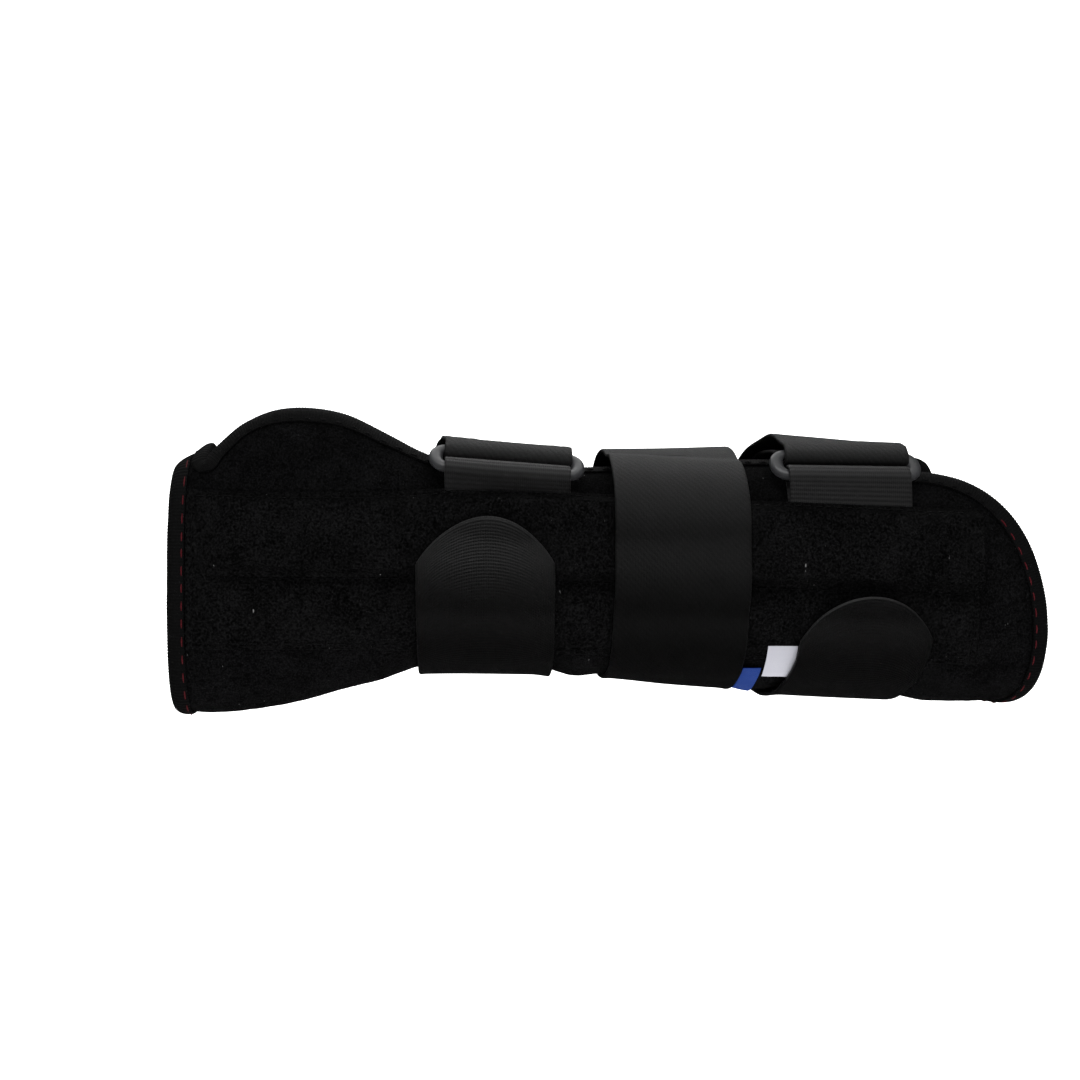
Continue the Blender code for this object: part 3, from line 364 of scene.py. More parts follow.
def edge_round(distance, radius):
    """Share of the full thickness this far in from a rounded edge."""
    t = np.clip(distance / radius, 0.0, 1.0)
    return 0.3 + 0.7 * np.sqrt(1.0 - (1.0 - t) ** 2)


def steps(start, finish, size):
    return np.linspace(start, finish, max(int(round(abs(finish - start) / size)), 2) + 1)


def tube_quads(rings, around, closed):
    """Quads between rings of points, in a row or all the way round."""
    i = np.arange(rings if closed else rings - 1)[:, None]
    j = np.arange(around)
    ahead, beside = (i + 1) % rings, (j + 1) % around
    corners = (i * around + j, ahead * around + j, ahead * around + beside, i * around + beside)
    return np.stack(corners, axis=-1).reshape(-1, 4)


# ---------------- materials

def nodes_of(name):
    made = bpy.data.materials.new(name)
    made.use_nodes = True
    return made, made.node_tree, made.node_tree.nodes["Principled BSDF"]


def feed(tree, node, inputs):
    """Links each input that is given a socket, and sets the others to their value."""
    for name, value in inputs.items():
        if isinstance(value, bpy.types.NodeSocket):
            tree.links.new(value, node.inputs[name])
        else:
            node.inputs[name].default_value = value
    return node


def add(tree, kind, inputs):
    return feed(tree, tree.nodes.new("ShaderNode" + kind), inputs)


def noise(tree, source, scale, detail=3.0, roughness=0.6, stretch=None):
    """Noise texture with features of about 1 / scale metres."""
    if stretch is not None:
        source = add(tree, "Mapping", {"Vector": source, "Scale": stretch}).outputs["Vector"]
    inputs = {"Vector": source, "Scale": scale, "Detail": detail, "Roughness": roughness}
    return add(tree, "TexNoise", inputs).outputs["Fac"]


def wave(tree, source, pitch_mm, direction, distortion=0.0):
    """Even bands; Blender's wave texture has one every pi / (10 x scale) metres."""
    node = add(tree, "TexWave", {"Vector": source, "Scale": math.pi / (10.0 * pitch_mm * MM),
                                 "Distortion": distortion, "Detail": 1.0})
    node.wave_type = "BANDS"
    node.bands_direction = direction
    return node.outputs["Fac"]


def ramp(tree, source, stops):
    node = add(tree, "ValToRGB", {"Fac": source})
    elements = node.color_ramp.elements
    while len(elements) < len(stops):
        elements.new(0.5)
    for element, (place, colour) in zip(elements, stops):
        element.position = place
        element.color = (*colour, 1.0)
    return node.outputs["Color"]


def combine(tree, a, b, how="MULTIPLY"):
    node = add(tree, "Math", {0: a, 1: b})
    node.operation = how
    return node.outputs[0]


def share_out(tree, a, b, share):
    """The first value by 1 - share plus the second by share."""
    return combine(tree, combine(tree, a, 1.0 - share), combine(tree, b, share), "ADD")


def bump(tree, height, distance_mm, strength, before=None):
    inputs = {"Height": height, "Distance": distance_mm * MM, "Strength": strength}
    if before is not None:
        inputs["Normal"] = before
    return add(tree, "Bump", inputs).outputs["Normal"]


def coordinates(tree, which="Object"):
    return tree.nodes.new("ShaderNodeTexCoord").outputs[which]


def shade(colour, factor):
    return tuple(np.array(colour) * factor)


def pile_cloth(name, dark, light, tuft_mm, lint=True):
    """Brushed or looped pile: mottled tufts, a softer patchiness and a few pale fibres."""
    made, tree, shader = nodes_of(name)
    place = coordinates(tree)
    tufts = noise(tree, place, 1.0 / (tuft_mm * MM), 4.0, 0.7)
    patches = noise(tree, place, 1.0 / (9.0 * MM), 2.0, 0.5)
    between = tuple(mix(np.array(dark), np.array(light), 0.35))
    colour = ramp(tree, share_out(tree, tufts, patches, 0.14), ((0.40, dark), (0.50, between), (0.61, light)))
    if lint:
        specks = noise(tree, place, 1.0 / (0.9 * MM), 1.0, 0.4, stretch=(1.0, 0.6, 0.35))
        mask = ramp(tree, specks, ((0.80, (0.0, 0.0, 0.0)), (0.86, (1.0, 1.0, 1.0))))
        blend = tree.nodes.new("ShaderNodeMix")
        blend.data_type = "RGBA"
        feed(tree, blend, {"Factor": mask, "A": colour, "B": (0.10, 0.10, 0.10, 1.0)})
        colour = blend.outputs["Result"]
    fine = noise(tree, place, 1.0 / (tuft_mm * 0.45 * MM), 3.0, 0.7)
    relief = bump(tree, fine, 0.18, 0.6, bump(tree, tufts, 0.5, 0.8))
    feed(tree, shader, {"Base Color": colour, "Roughness": 0.95, "Specular IOR Level": 0.03, "Normal": relief})
    return made


def woven_cloth(name, colour, row_mm, column_mm, contrast=0.35, roughness=0.75, specular=0.2, fuzz=0.4,
                row_bump=0.12, twill=False, grain_bump=0.1):
    """Elastic webbing: weft rows across it, warp columns along it, and a little fuzz."""
    made, tree, shader = nodes_of(name)
    cloth = coordinates(tree, "UV")
    place = coordinates(tree)
    rows = wave(tree, cloth, row_mm, "DIAGONAL", distortion=2.0) if twill else wave(tree, cloth, row_mm, "Y")
    columns = wave(tree, cloth, column_mm, "X")
    grain = noise(tree, place, 1.0 / (0.35 * MM), 3.0, 0.7)
    patches = noise(tree, place, 1.0 / (7.0 * MM), 2.0, 0.5)
    lumps = share_out(tree, combine(tree, rows, columns), grain, fuzz)
    stops = ((0.2, shade(colour, 1.0 - contrast)), (0.5, colour), (0.8, shade(colour, 1.0 + contrast)))
    first = bump(tree, rows, row_bump, 0.8)
    second = bump(tree, columns, row_bump * 0.6, 0.7, first)
    feed(tree, shader, {"Base Color": ramp(tree, share_out(tree, lumps, patches, 0.2), stops),
                        "Roughness": roughness, "Specular IOR Level": specular, "Sheen Weight": 0.004,
                        "Normal": bump(tree, grain, grain_bump, 0.8, second)})
    return made


def hard_surface(name, colour, roughness, metallic=0.0, brushed=None):
    """Moulded plastic or brushed metal with faint unevenness in its gloss."""
    made, tree, shader = nodes_of(name)
    place = coordinates(tree)
    grain = noise(tree, place, 1400.0, stretch=brushed)
    clouds = noise(tree, place, 160.0)
    tone = share_out(tree, grain, clouds, 0.5)
    gloss = add(tree, "MapRange", {"Value": tone, "To Min": roughness - 0.07, "To Max": roughness + 0.1})
    stops = ((0.3, shade(colour, 0.88)), (0.7, shade(colour, 1.1)))
    feed(tree, shader, {"Base Color": ramp(tree, tone, stops), "Metallic": metallic, "Specular IOR Level": 0.5,
                        "Roughness": gloss.outputs["Result"], "Normal": bump(tree, grain, 0.04, 0.5)})
    return made


def thread(name, colour):
    made, tree, shader = nodes_of(name)
    strands = noise(tree, coordinates(tree), 5000.0, 2.0, 0.6)
    feed(tree, shader, {"Base Color": ramp(tree, strands, ((0.3, shade(colour, 0.55)), (0.7, colour))),
                        "Roughness": 0.6, "Specular IOR Level": 0.1, "Normal": bump(tree, strands, 0.08, 0.7)})
    return made


KNIT_PITCH = 0.95
RIDGE_PITCH = 1.35
HOOK_PITCH = 1.1
RIB_PITCH = 0.9

COVER_CLOTH = pile_cloth("cover_velour", (0.0001, 0.0001, 0.0001), (0.0046, 0.0046, 0.0049), 0.5)
PANEL_CLOTH = pile_cloth("panel_loop_pile", (0.0001, 0.0001, 0.0001), (0.0048, 0.0048, 0.0050), 0.62)
LINING_CLOTH = pile_cloth("lining_brushed", (0.002, 0.002, 0.0022), (0.006, 0.006, 0.0064), 0.5, lint=False)
FOAM_CELLS = pile_cloth("foam_cells", (0.06, 0.06, 0.065), (0.13, 0.13, 0.14), 0.6, lint=False)
BINDING_CLOTH = woven_cloth("binding_ribbed", (0.0020, 0.0020, 0.0021), RIB_PITCH, 0.45, specular=0.07)
WEBBING = woven_cloth("strap_brushed", (0.0014, 0.0014, 0.0015), 1.0, 0.8, contrast=0.6, roughness=0.68,
                      specular=0.5, fuzz=0.55, row_bump=0.05, twill=True, grain_bump=0.30)
KNIT = woven_cloth("tab_ribbed_knit", (0.0017, 0.0017, 0.0018), KNIT_PITCH, 0.7, contrast=0.5,
                   roughness=0.66, specular=0.72, fuzz=0.5, row_bump=0.10, grain_bump=0.22)
RIDGED = woven_cloth("ring_tab_elastic", (0.0058, 0.0058, 0.0060), RIDGE_PITCH, 0.6, contrast=0.45,
                     roughness=0.68, specular=0.45, fuzz=0.3)
HOOKS = woven_cloth("hook_tape", (0.005, 0.005, 0.005), HOOK_PITCH, HOOK_PITCH, contrast=0.5, roughness=0.5,
                    specular=0.4, fuzz=0.15, row_bump=0.3)
RING_PLASTIC = hard_surface("ring_plastic", (0.020, 0.0205, 0.022), 0.42)
BLUE_CLOTH = woven_cloth("label_satin_blue", (0.0065, 0.025, 0.135), 0.35, 0.3, contrast=0.15, roughness=0.5,
                         specular=0.1, fuzz=0.3, row_bump=0.03)
WHITE_CLOTH = woven_cloth("label_satin_white", (0.30, 0.30, 0.33), 0.35, 0.3, contrast=0.10, roughness=0.5,
                          specular=0.1, fuzz=0.3, row_bump=0.03)
RED_THREAD = thread("thread_red", (0.065, 0.004, 0.007))
BLACK_THREAD = thread("thread_black", (0.0022, 0.0022, 0.0024))
ALUMINIUM = hard_surface("stay_brushed_aluminium", (0.62, 0.63, 0.65), 0.36, metallic=0.6,
                         brushed=(0.04, 1.0, 1.0))
STAY_PLASTIC = hard_surface("stay_plastic_sheet", (0.50, 0.51, 0.53), 0.42, brushed=(0.2, 1.0, 1.0))


# ---------------- wrap layers

def elbow_edge_x(s_from_palm, girth_there):
    palm_turn = -PALM_CORNER_ARC + smooth_table(PALM_EDGE, X_CORNER)
    back_turn = -girth_there + smooth_table(BACK_EDGE, X_CORNER) + BACK_CORNER_ARC
    across = np.clip((s_from_palm - palm_turn) / PALM_CORNER_ARC, 0.0, 1.0)
    palm = X_CORNER + (X_ELBOW_EDGE - X_CORNER) * (1.0 - across ** 2.4) ** (1.0 / 2.2)
    level = mix(X_BACK_EDGE, X_ELBOW_EDGE, smooth_step((s_from_palm - back_turn) / (palm_turn - back_turn)))
    across = np.clip((back_turn - s_from_palm) / BACK_CORNER_ARC, 0.0, 1.0)
    back = X_CORNER + (X_BACK_EDGE - X_CORNER) * np.sqrt(1.0 - across * across)
    return np.where(s_from_palm > palm_turn, palm, np.where(s_from_palm > back_turn, level, back))


def wrap_grid(step):
    """(x, s) of a fine grid over the wrap, and the cells of it that are cloth."""
    edge = np.array([0.0, 0.0015, 0.004, 0.008])
    columns = np.concatenate((edge, steps(0.0125, 0.9875, step / 165.0), 1.0 - edge[::-1]))
    straight = np.concatenate((steps(X_HAND_EDGE, X_THUMB_HOLE, 0.9), steps(X_THUMB_HOLE, -60.0, 0.8)[1:],
                               steps(-60.0, WARP_START, step)[1:]))
    warped = steps(0.0, 1.0, step / 75.0)[1:]
    bridge = np.linspace(0.0, 1.0, 41)[1:-1]
    rows, width = len(straight) + len(warped), len(columns) + len(bridge)
    x = np.zeros((rows, width))
    s = np.zeros((rows, width))
    here = girth(X_CORNER)
    around = mix(smooth_table(PALM_EDGE, X_CORNER), smooth_table(BACK_EDGE, X_CORNER) - here, columns)
    edge_x = elbow_edge_x(around, here)
    for row in range(rows):
        if row < len(straight):
            xs = np.full(len(columns), straight[row])
        else:
            xs = mix(WARP_START, edge_x, warped[row - len(straight)])
        palm = smooth_table(PALM_EDGE, xs)
        back = smooth_table(BACK_EDGE, xs) - girth(xs)
        x[row, :len(columns)] = xs
        s[row, :len(columns)] = mix(palm, back, columns)
        bx = min(straight[min(row, len(straight) - 1)], X_THUMB_HOLE)
        x[row, len(columns):] = bx
        s[row, len(columns):] = mix(smooth_table(BACK_EDGE, bx), smooth_table(PALM_EDGE, bx), bridge)
    hole_row = int(np.argmin(np.abs(straight - X_THUMB_HOLE)))
    i, j = np.meshgrid(np.arange(rows - 1), np.arange(width), indexing="ij")
    cloth = (j < len(columns) - 1) | (i < hole_row)
    a = (i * width + j)[cloth]
    b = (i * width + (j + 1) % width)[cloth]
    cells = np.column_stack((a, b, b + width, a + width))
    used = np.unique(cells)
    place = np.full(rows * width, -1)
    place[used] = np.arange(len(used))
    return x.ravel()[used], s.ravel()[used], place[cells]


def border_loops(cells):
    """Closed loops of corner numbers round the borders of a grid of cells."""
    following = {int(a): int(b) for a, b in border_edges(cells, int(cells.max()) + 1)}
    loops = []
    while following:
        start = min(following)
        loop = [start]
        here = following.pop(start)
        while here != start:
            loop.append(here)
            here = following.pop(here)
        loops.append(np.array(loop))
    return loops


def squeeze(distance):
    return 1.0 - EDGE_SQUEEZE * np.exp(-distance / EDGE_SQUEEZE_REACH)


def resampled(points, spacing, smoothing):
    """A closed line of points at even spacing, with its sharp corners rounded."""
    closed = np.vstack((points, points[:1]))
    arc = arc_along(closed)
    count = int(round(arc[-1] / spacing))
    even = np.linspace(0.0, arc[-1], count, endpoint=False)
    line = np.stack([np.interp(even, arc, closed[:, k]) for k in range(3)], axis=1)
    reach = int(3 * smoothing / spacing)
    weights = np.exp(-0.5 * (np.arange(-reach, reach + 1) * spacing / smoothing) ** 2)
    weights /= weights.sum()
    return sum(w * np.roll(line, shift, axis=0) for w, shift in zip(weights, range(-reach, reach + 1)))


grid_x, grid_s, wrap_cells = wrap_grid(1.15)
grid_base = on_form(grid_x, grid_s)
edge_lines = [resampled(grid_base[loop], EDGE_STEP, 1.1) for loop in border_loops(wrap_cells)]
border_points = np.concatenate([line[::3] for line in edge_lines])
to_edge = np.full(len(grid_base), FAR)
for part in np.array_split(border_points, len(border_points) // 200 + 1):
    to_edge = np.minimum(to_edge, np.linalg.norm(grid_base[:, None] - part[None], axis=2).min(axis=1))
factor = squeeze(to_edge)
wrap_uv = np.column_stack((grid_x, grid_s))

# the cover puckers where the binding's stitches pull it, and its pile is never quite level
pucker = np.exp(-((to_edge - 4.6) / 1.3) ** 2) * (0.16 + 0.10 * value_noise(grid_x, grid_s, 3.2, 5))
ripple = 0.16 * value_noise(grid_x, grid_s, 14.0, 8) + 0.08 * value_noise(grid_x, grid_s, 3.6, 3)
pile = 0.055 * value_noise(grid_x, grid_s, 1.3, 4)
cover_top = COVER[1] * factor - pucker + (ripple + pile) * smooth_step(to_edge / 4.0)
lining_low = LINING[0] * factor + 0.04 * value_noise(grid_x, grid_s, 2.5, 9)
for name, low, high, finish, slot, node in (
        ("wrap_lining", lining_low, LINING[1] * factor, LINING_CLOTH, "lining", "inner_lining"),
        ("wrap_foam", FOAM[0] * factor, FOAM[1] * factor - 0.5 * pucker, FOAM_CELLS, "foam", "foam_core"),
        ("wrap_cover", COVER[0] * factor - 0.5 * pucker, cover_top, COVER_CLOTH, "cover", "outer_cover")):
    piece = plate(name, on_form(grid_x, grid_s, high), on_form(grid_x, grid_s, low), wrap_uv, wrap_cells,
                  finish, "wrap", node)


# ---------------- binding and its stitches

BINDING_REACH = 4.2
BINDING_CORE = (1.6, 1.4)
STITCH_INSET = 3.55
STITCH_SPACING = 4.9
RED_ENDS = (-78.0, 168.0)


def binding_profile():
    """Rounded U section as (distance in from the edge, height over the form, outward share of a rib)."""
    def outside(d):
        return COVER[1] * squeeze(max(d, 0.0)) + 0.1

    reach, top, inner = BINDING_REACH, outside(BINDING_REACH), -0.25
    return [(reach - 0.1, top - 0.15, 0.0), (reach + 0.1, top + 0.15, 0.0), (reach, top + 0.55, 0.6),
            (3.3, outside(3.3) + 0.78, 1.0), (2.2, outside(2.2) + 0.95, 1.0), (1.1, outside(1.1) + 0.98, 1.0),
            (0.1, outside(0.0) + 0.75, 1.0), (-0.6, outside(0.0) + 0.15, 1.0), (-0.98, outside(0.0) - 0.8, 1.0),
            (-1.05, 1.2, 1.0), (-0.95, 0.2, 1.0), (-0.55, inner - 0.5, 1.0), (0.3, inner - 0.8, 1.0),
            (2.0, inner - 0.85, 1.0), (3.4, inner - 0.75, 1.0), (reach, inner - 0.45, 0.6),
            (reach + 0.05, inner - 0.1, 0.0), (reach - 0.2, inner, 0.0), (-0.1, inner, 0.0),
            (-0.15, outside(0.0) - 0.2, 0.0)]


def edge_frames(line):
    """Normal and inward direction at each point of a border line."""
    tangent = unit(np.roll(line, -2, axis=0) - np.roll(line, 2, axis=0))
    s, _ = locate(line)
    normal = normal_at(line[:, 0], s)
    tangent = unit(tangent - normal * np.sum(tangent * normal, axis=1, keepdims=True))
    return normal, np.cross(normal, tangent)


def beside_edge(line, inward, distance, height):
    """Points at a distance in from a border line and a height over the form."""
    points = line + inward * np.reshape(distance, (-1, 1))
    s, _ = locate(points)
    return on_form(points[:, 0], s, height)


def make_binding(name, node, line):
    _, inward = edge_frames(line)
    arc = np.arange(len(line)) * EDGE_STEP
    rib = 0.075 * np.cos(2.0 * math.pi * arc / RIB_PITCH) + 0.05 * value_noise(arc, np.zeros_like(arc), 5.0, 17)
    profile = binding_profile()
    rings = []
    for distance, height, share in profile:
        away = unit(np.array((distance, height)) - BINDING_CORE)
        rings.append(beside_edge(line, inward, distance + rib * share * away[0],
                                 height + rib * share * away[1]))
    points = np.stack(rings, axis=1).reshape(-1, 3)
    quads = tube_quads(len(line), len(profile), True)
    across = arc_along(np.array(profile)[:, :2])
    uv = np.stack(np.broadcast_arrays(across, arc[:, None]), axis=-1).reshape(-1, 2)
    shown(name, points, quads, BINDING_CLOTH, "wrap", node, uv=uv)


def stitches(name, rows, finish, radius=0.21):
    """Thread stitches from rows of (start, end, outward): each dips into the cloth at both ends."""
    around, along = 6, 5
    starts, ends, outs = (np.array([row[k] for row in rows]) for k in range(3))
    run = ends - starts
    side = unit(np.cross(run, outs))
    rings = []
    for t in np.arange(along) / (along - 1):
        arch = math.sin(math.pi * t)
        centre = starts + run * t + outs * (0.30 * arch - 0.16)
        r = radius * (0.55 + 0.45 * arch)
        for m in range(around):
            turn = 2.0 * math.pi * m / around
            rings.append(centre + side * r * math.cos(turn) + outs * r * math.sin(turn))
    block = along * around
    one = tube_quads(along, around, False)[:, ::-1].tolist()
    one += [list(range(around)), list(range(block - 1, block - around - 1, -1))]
    faces = [[n * block + corner for corner in face] for n in range(len(starts)) for face in one]
    shown(name, np.stack(rings, axis=1).reshape(-1, 3), faces, finish, "wrap")


red, black = [], []
for line in edge_lines:
    node = "hand_binding" if line[:, 0].max() < -60.0 else "slit_binding"
    make_binding("binding_hand_edge" if node == "hand_binding" else "binding_slit_and_elbow", node, line)
    normal, inward = edge_frames(line)
    spacing = STITCH_SPACING / EDGE_STEP
    for side, height in ((1.0, COVER[1] * squeeze(STITCH_INSET) + 0.86), (-1.0, -1.12)):
        row = beside_edge(line, inward, STITCH_INSET, height)
        for n in range(int(len(line) / spacing)):
            a = int(round(n * spacing)) % len(line)
            is_red = line[a, 0] < RED_ENDS[0] or line[a, 0] > RED_ENDS[1]
            (red if is_red else black).append((row[a], row[(a + 6) % len(line)], side * normal[a]))
stitches("stitches_red", red, RED_THREAD)
stitches("stitches_black", black, BLACK_THREAD)


# ---------------- stays, panel and pocket

STRAP_WIDTH = 40.0
POCKET_X = (-54.0, 137.0)
POCKET_WIDTH = 32.0
BACK_STAY_X = (-46.0, 130.0)
BACK_STAY_Z = (-1.0, -3.5)
PANEL_X = (-76.5, 158.0)
PANEL_WIDTH = 44.5
PANEL_CHANNEL = 24.5
PANEL_PUFF = 1.1
SKIN = 0.9
CLOTH_GAP = 0.15
RING_X = (16.2, 118.5)
TAB_WIDTH = 37.0
TAB_THICK = 1.0
TAB_LIFT = 0.4
TAB_TOP = COVER[1] + TAB_LIFT + 2.0 * TAB_THICK + 0.2 + 0.2
TAB_TUCK = 2.0
LIP_DROP = 0.8
LIP_SKIN = 0.8
STAY_CLEARANCE = 0.45
PANEL_SEAM = 1.9
POCKET_SEAM = (1.8, 14.2)
END_SEAM = 2.0

_row_x = FORM_X[(FORM_X >= -60) & (FORM_X <= 160)]
_stay_z = mix(*BACK_STAY_Z, (_row_x - BACK_STAY_X[0]) / (BACK_STAY_X[1] - BACK_STAY_X[0]))
_centres = np.array([arc_at(x, z, 1) for x, z in zip(_row_x, _stay_z)])
_smooth = np.convolve(np.pad(_centres, 8, mode="edge"), np.ones(17) / 17.0, mode="valid")


def pocket_centre(x):
    """Arc length of the middle of the back pocket."""
    return np.interp(x, _row_x, _smooth)


def panel_top(x):
    """Arc length of the palm panel's edge on the thumb side."""
    return 22.4 - 0.034 * np.maximum(np.asarray(x) + 5.0, 0.0)


class Stay:
    """Where a packed stay lies on the palm (side -1) or the back (side 1), for the cloth over it to follow."""

    def __init__(self, size, x_range, z_range, side, tilt, lift):
        self.length, self.width, self.thickness = size
        slope = -PALM_DEPTH[1] if side < 0 else BACK_DEPTH[1]
        run = x_range[1] - x_range[0]
        self.axis = unit(np.array((run, slope * run, z_range[1] - z_range[0])))
        out = np.array((0.0, side * math.cos(math.radians(tilt)), math.sin(math.radians(tilt))))
        self.out = unit(out - self.axis * np.dot(out, self.axis))
        self.across = np.cross(self.out, self.axis)
        start = on_form(x_range[0], arc_at(x_range[0], z_range[0], side))
        share, aside = np.meshgrid(np.linspace(0.0, 1.12, 24), np.linspace(-0.5, 0.5, 7), indexing="ij")
        spots = (start + self.axis * (self.length * share)[..., None]
                 + self.across * (self.width * aside)[..., None])
        s, _ = locate(spots)
        levels = np.sum((on_form(spots[..., 0], s, COVER[1]) - start) * self.out, axis=-1)
        self.start = start + self.out * (levels.max() + lift)

    def cloth_height(self, x, s, margin, slope, lead):
        """Height of the cloth's inner skin, which rises over the stay by the share lead."""
        flat = COVER[1] + CLOTH_GAP
        base = on_form(x, s)
        aside = np.abs(np.sum((base - self.start) * self.across, axis=-1))
        rise = np.sum((self.start - base) * self.out, axis=-1) + self.thickness + STAY_CLEARANCE
        roof = rise / np.sum(normal_at(x, s) * self.out, axis=-1)
        lifted = smooth_step((self.width / 2.0 + margin - aside) / slope) * lead
        return mix(flat, np.maximum(roof, flat), lifted)


palm_stay = Stay((210.0, 16.0, 1.6), (-61.0, 149.0), (11.0, 5.3), -1, 3.5, 0.8)
back_stay = Stay((176.0, 18.0, 1.6), BACK_STAY_X, BACK_STAY_Z, 1, 0.0, 1.2)


def panel_heights(x, s):
    """Inner and outer height of the palm panel: a channel over the stay and a lightly padded one."""
    bottom, top = panel_top(x) - PANEL_WIDTH, panel_top(x)
    inner = palm_stay.cloth_height(x, s, 3.6, 3.4, smooth_step((x - PANEL_X[0] - 5.0) / 8.0))
    into_pad = np.minimum(s - bottom, top - PANEL_CHANNEL - s)
    ends = np.minimum(x - PANEL_X[0], PANEL_X[1] - x)
    return inner, inner + SKIN + PANEL_PUFF * smooth_step(into_pad / 7.0) * smooth_step(ends / 8.0)


def pocket_heights(x, s):
    inner = back_stay.cloth_height(x, s, 4.5, 3.8, smooth_step((x - POCKET_X[0] - 1.0) / 5.0))
    return inner, inner + SKIN


def tab_lip(x):
    """Share of the panel's top edge that is lifted, 1 where a ring's tab is sewn under it."""
    return sum(smooth_step((TAB_WIDTH / 2.0 + 3.5 - np.abs(x - ring_x)) / 3.0) for ring_x in RING_X)


def panel_over_tabs(x, s):
    """Heights of the panel with its top edge raised over the ring tabs that are sewn under it."""
    inner, outer = panel_heights(x, s)
    rise = tab_lip(x) * smooth_step((s - panel_top(x) + TAB_TUCK + 3.7) / 3.5)
    return (inner + rise * np.maximum(TAB_TOP - inner, 0.0),
            outer + rise * np.maximum(TAB_TOP + LIP_SKIN - outer, 0.0))


def sewn_panel(name, node, x, s, heights, lengthwise, crosswise):
    """Pile-faced panel with sunk seams: (line, depth) along the arm, and (x, depth) across it."""
    inner, outer = heights(x, s)
    rough = 0.16 * value_noise(x, s, 1.35, 21) + 0.10 * value_noise(x, s, 0.75, 22)
    soft = 0.20 * value_noise(x, s, 11.0, 23) + 0.10 * value_noise(x, s, 5.0, 24)
    rows, columns = (np.minimum(np.arange(n), np.arange(n)[::-1]) for n in x.shape)
    rim = np.minimum(rows[:, None] * 0.55, columns * 0.5)
    sink = np.zeros_like(x)
    sewn = [(s - line(x), depth) for line, depth in lengthwise] + [(x - at, depth) for at, depth in crosswise]
    for away, depth in sewn:
        sink = np.maximum(sink, depth * np.exp(-(away / 1.1) ** 2))
    relief = (rough + soft * smooth_step(rim / 5.0)) * (1.0 - 0.75 * np.minimum(sink, 1.0))
    top = np.maximum(inner + (outer - inner) * edge_round(rim, 1.3) - sink * 0.45 + relief, inner + 0.2)
    return plate(name, on_form(x, s, top), on_form(x, s, inner), np.column_stack((x.ravel(), s.ravel())),
                 grid_cells(*x.shape), PANEL_CLOTH, "wrap", node, sharp=70.0)


def seam(x, s, h):
    """Starts, ends and outward directions of short stitches along a line on the wrap."""
    line = on_form(x, s, h)
    arc = arc_along(line)
    out = []
    for begin in np.arange(1.0, arc[-1] - 2.5, 3.1):
        p = [np.array([np.interp(begin + d, arc, line[:, k]) for k in range(3)]) for d in (0.0, 2.2)]
        k = int(np.searchsorted(arc, begin))
        out.append((p[0], p[1], normal_at(x[k], s[k])))
    return out


# lines sewn along the arm: place, how deep they sink the pile, how far their thread lies under the surface
PANEL_LINES = ((lambda x: panel_top(x) - PANEL_CHANNEL, 1.0, 0.28),
               (lambda x: panel_top(x) - PANEL_SEAM, 0.35, 0.12),
               (lambda x: panel_top(x) - PANEL_WIDTH + PANEL_SEAM, 0.5, 0.22))
POCKET_LINES = ((lambda x: pocket_centre(x) + POCKET_SEAM[1], 0.5),
                (lambda x: pocket_centre(x) - POCKET_SEAM[1], 0.5))
PANEL_ENDS = (PANEL_X[0] + END_SEAM, PANEL_X[1] - END_SEAM)

panel_x, share = np.meshgrid(steps(*PANEL_X, 0.55), steps(0.0, 1.0, 0.5 / PANEL_WIDTH), indexing="ij")
panel_s = mix(panel_top(panel_x) - PANEL_WIDTH, panel_top(panel_x) - LIP_DROP * tab_lip(panel_x), share)
panel = sewn_panel("palm_panel_pile", "palm_panel", panel_x, panel_s, panel_over_tabs,
                   [line[:2] for line in PANEL_LINES], [(x, 0.5) for x in PANEL_ENDS])

pocket_x, offset = np.meshgrid(steps(*POCKET_X, 0.6), steps(-16.0, 16.0, 0.5), indexing="ij")
sewn_panel("back_pocket_pile", "back_pocket", pocket_x, pocket_centre(pocket_x) + offset, pocket_heights,
           POCKET_LINES, [(POCKET_X[0] + POCKET_SEAM[0], 0.5)])

seams = []
line_x = steps(*PANEL_ENDS, 1.0)
for at, _, drop in PANEL_LINES:
    seams += seam(line_x, at(line_x), panel_over_tabs(line_x, at(line_x))[1] - drop)
for x_line in PANEL_ENDS:
    line_s = steps(panel_top(x_line) - PANEL_WIDTH + PANEL_SEAM, panel_top(x_line) - PANEL_SEAM, 1.0)
    line_x = np.full(len(line_s), x_line)
    seams += seam(line_x, line_s, panel_heights(line_x, line_s)[1] - 0.22)
line_x = steps(POCKET_X[0] + POCKET_SEAM[0], POCKET_X[1] - 1.0, 1.0)
for side in (-POCKET_SEAM[1], POCKET_SEAM[1]):
    line_s = pocket_centre(line_x) + side
    seams += seam(line_x, line_s, pocket_heights(line_x, line_s)[1] - 0.2)
stitches("stitches_panels", seams, BLACK_THREAD, radius=0.2)

for node, finish in (("palm_stay", ALUMINIUM), ("back_stay", STAY_PLASTIC)):
    for material_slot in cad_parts[node].material_slots:
        material_slot.material = finish


# ---------------- height of what the straps rest on

TOP_STEP = 0.5
TOP_S = np.arange(-20.0, 230.01, TOP_STEP)


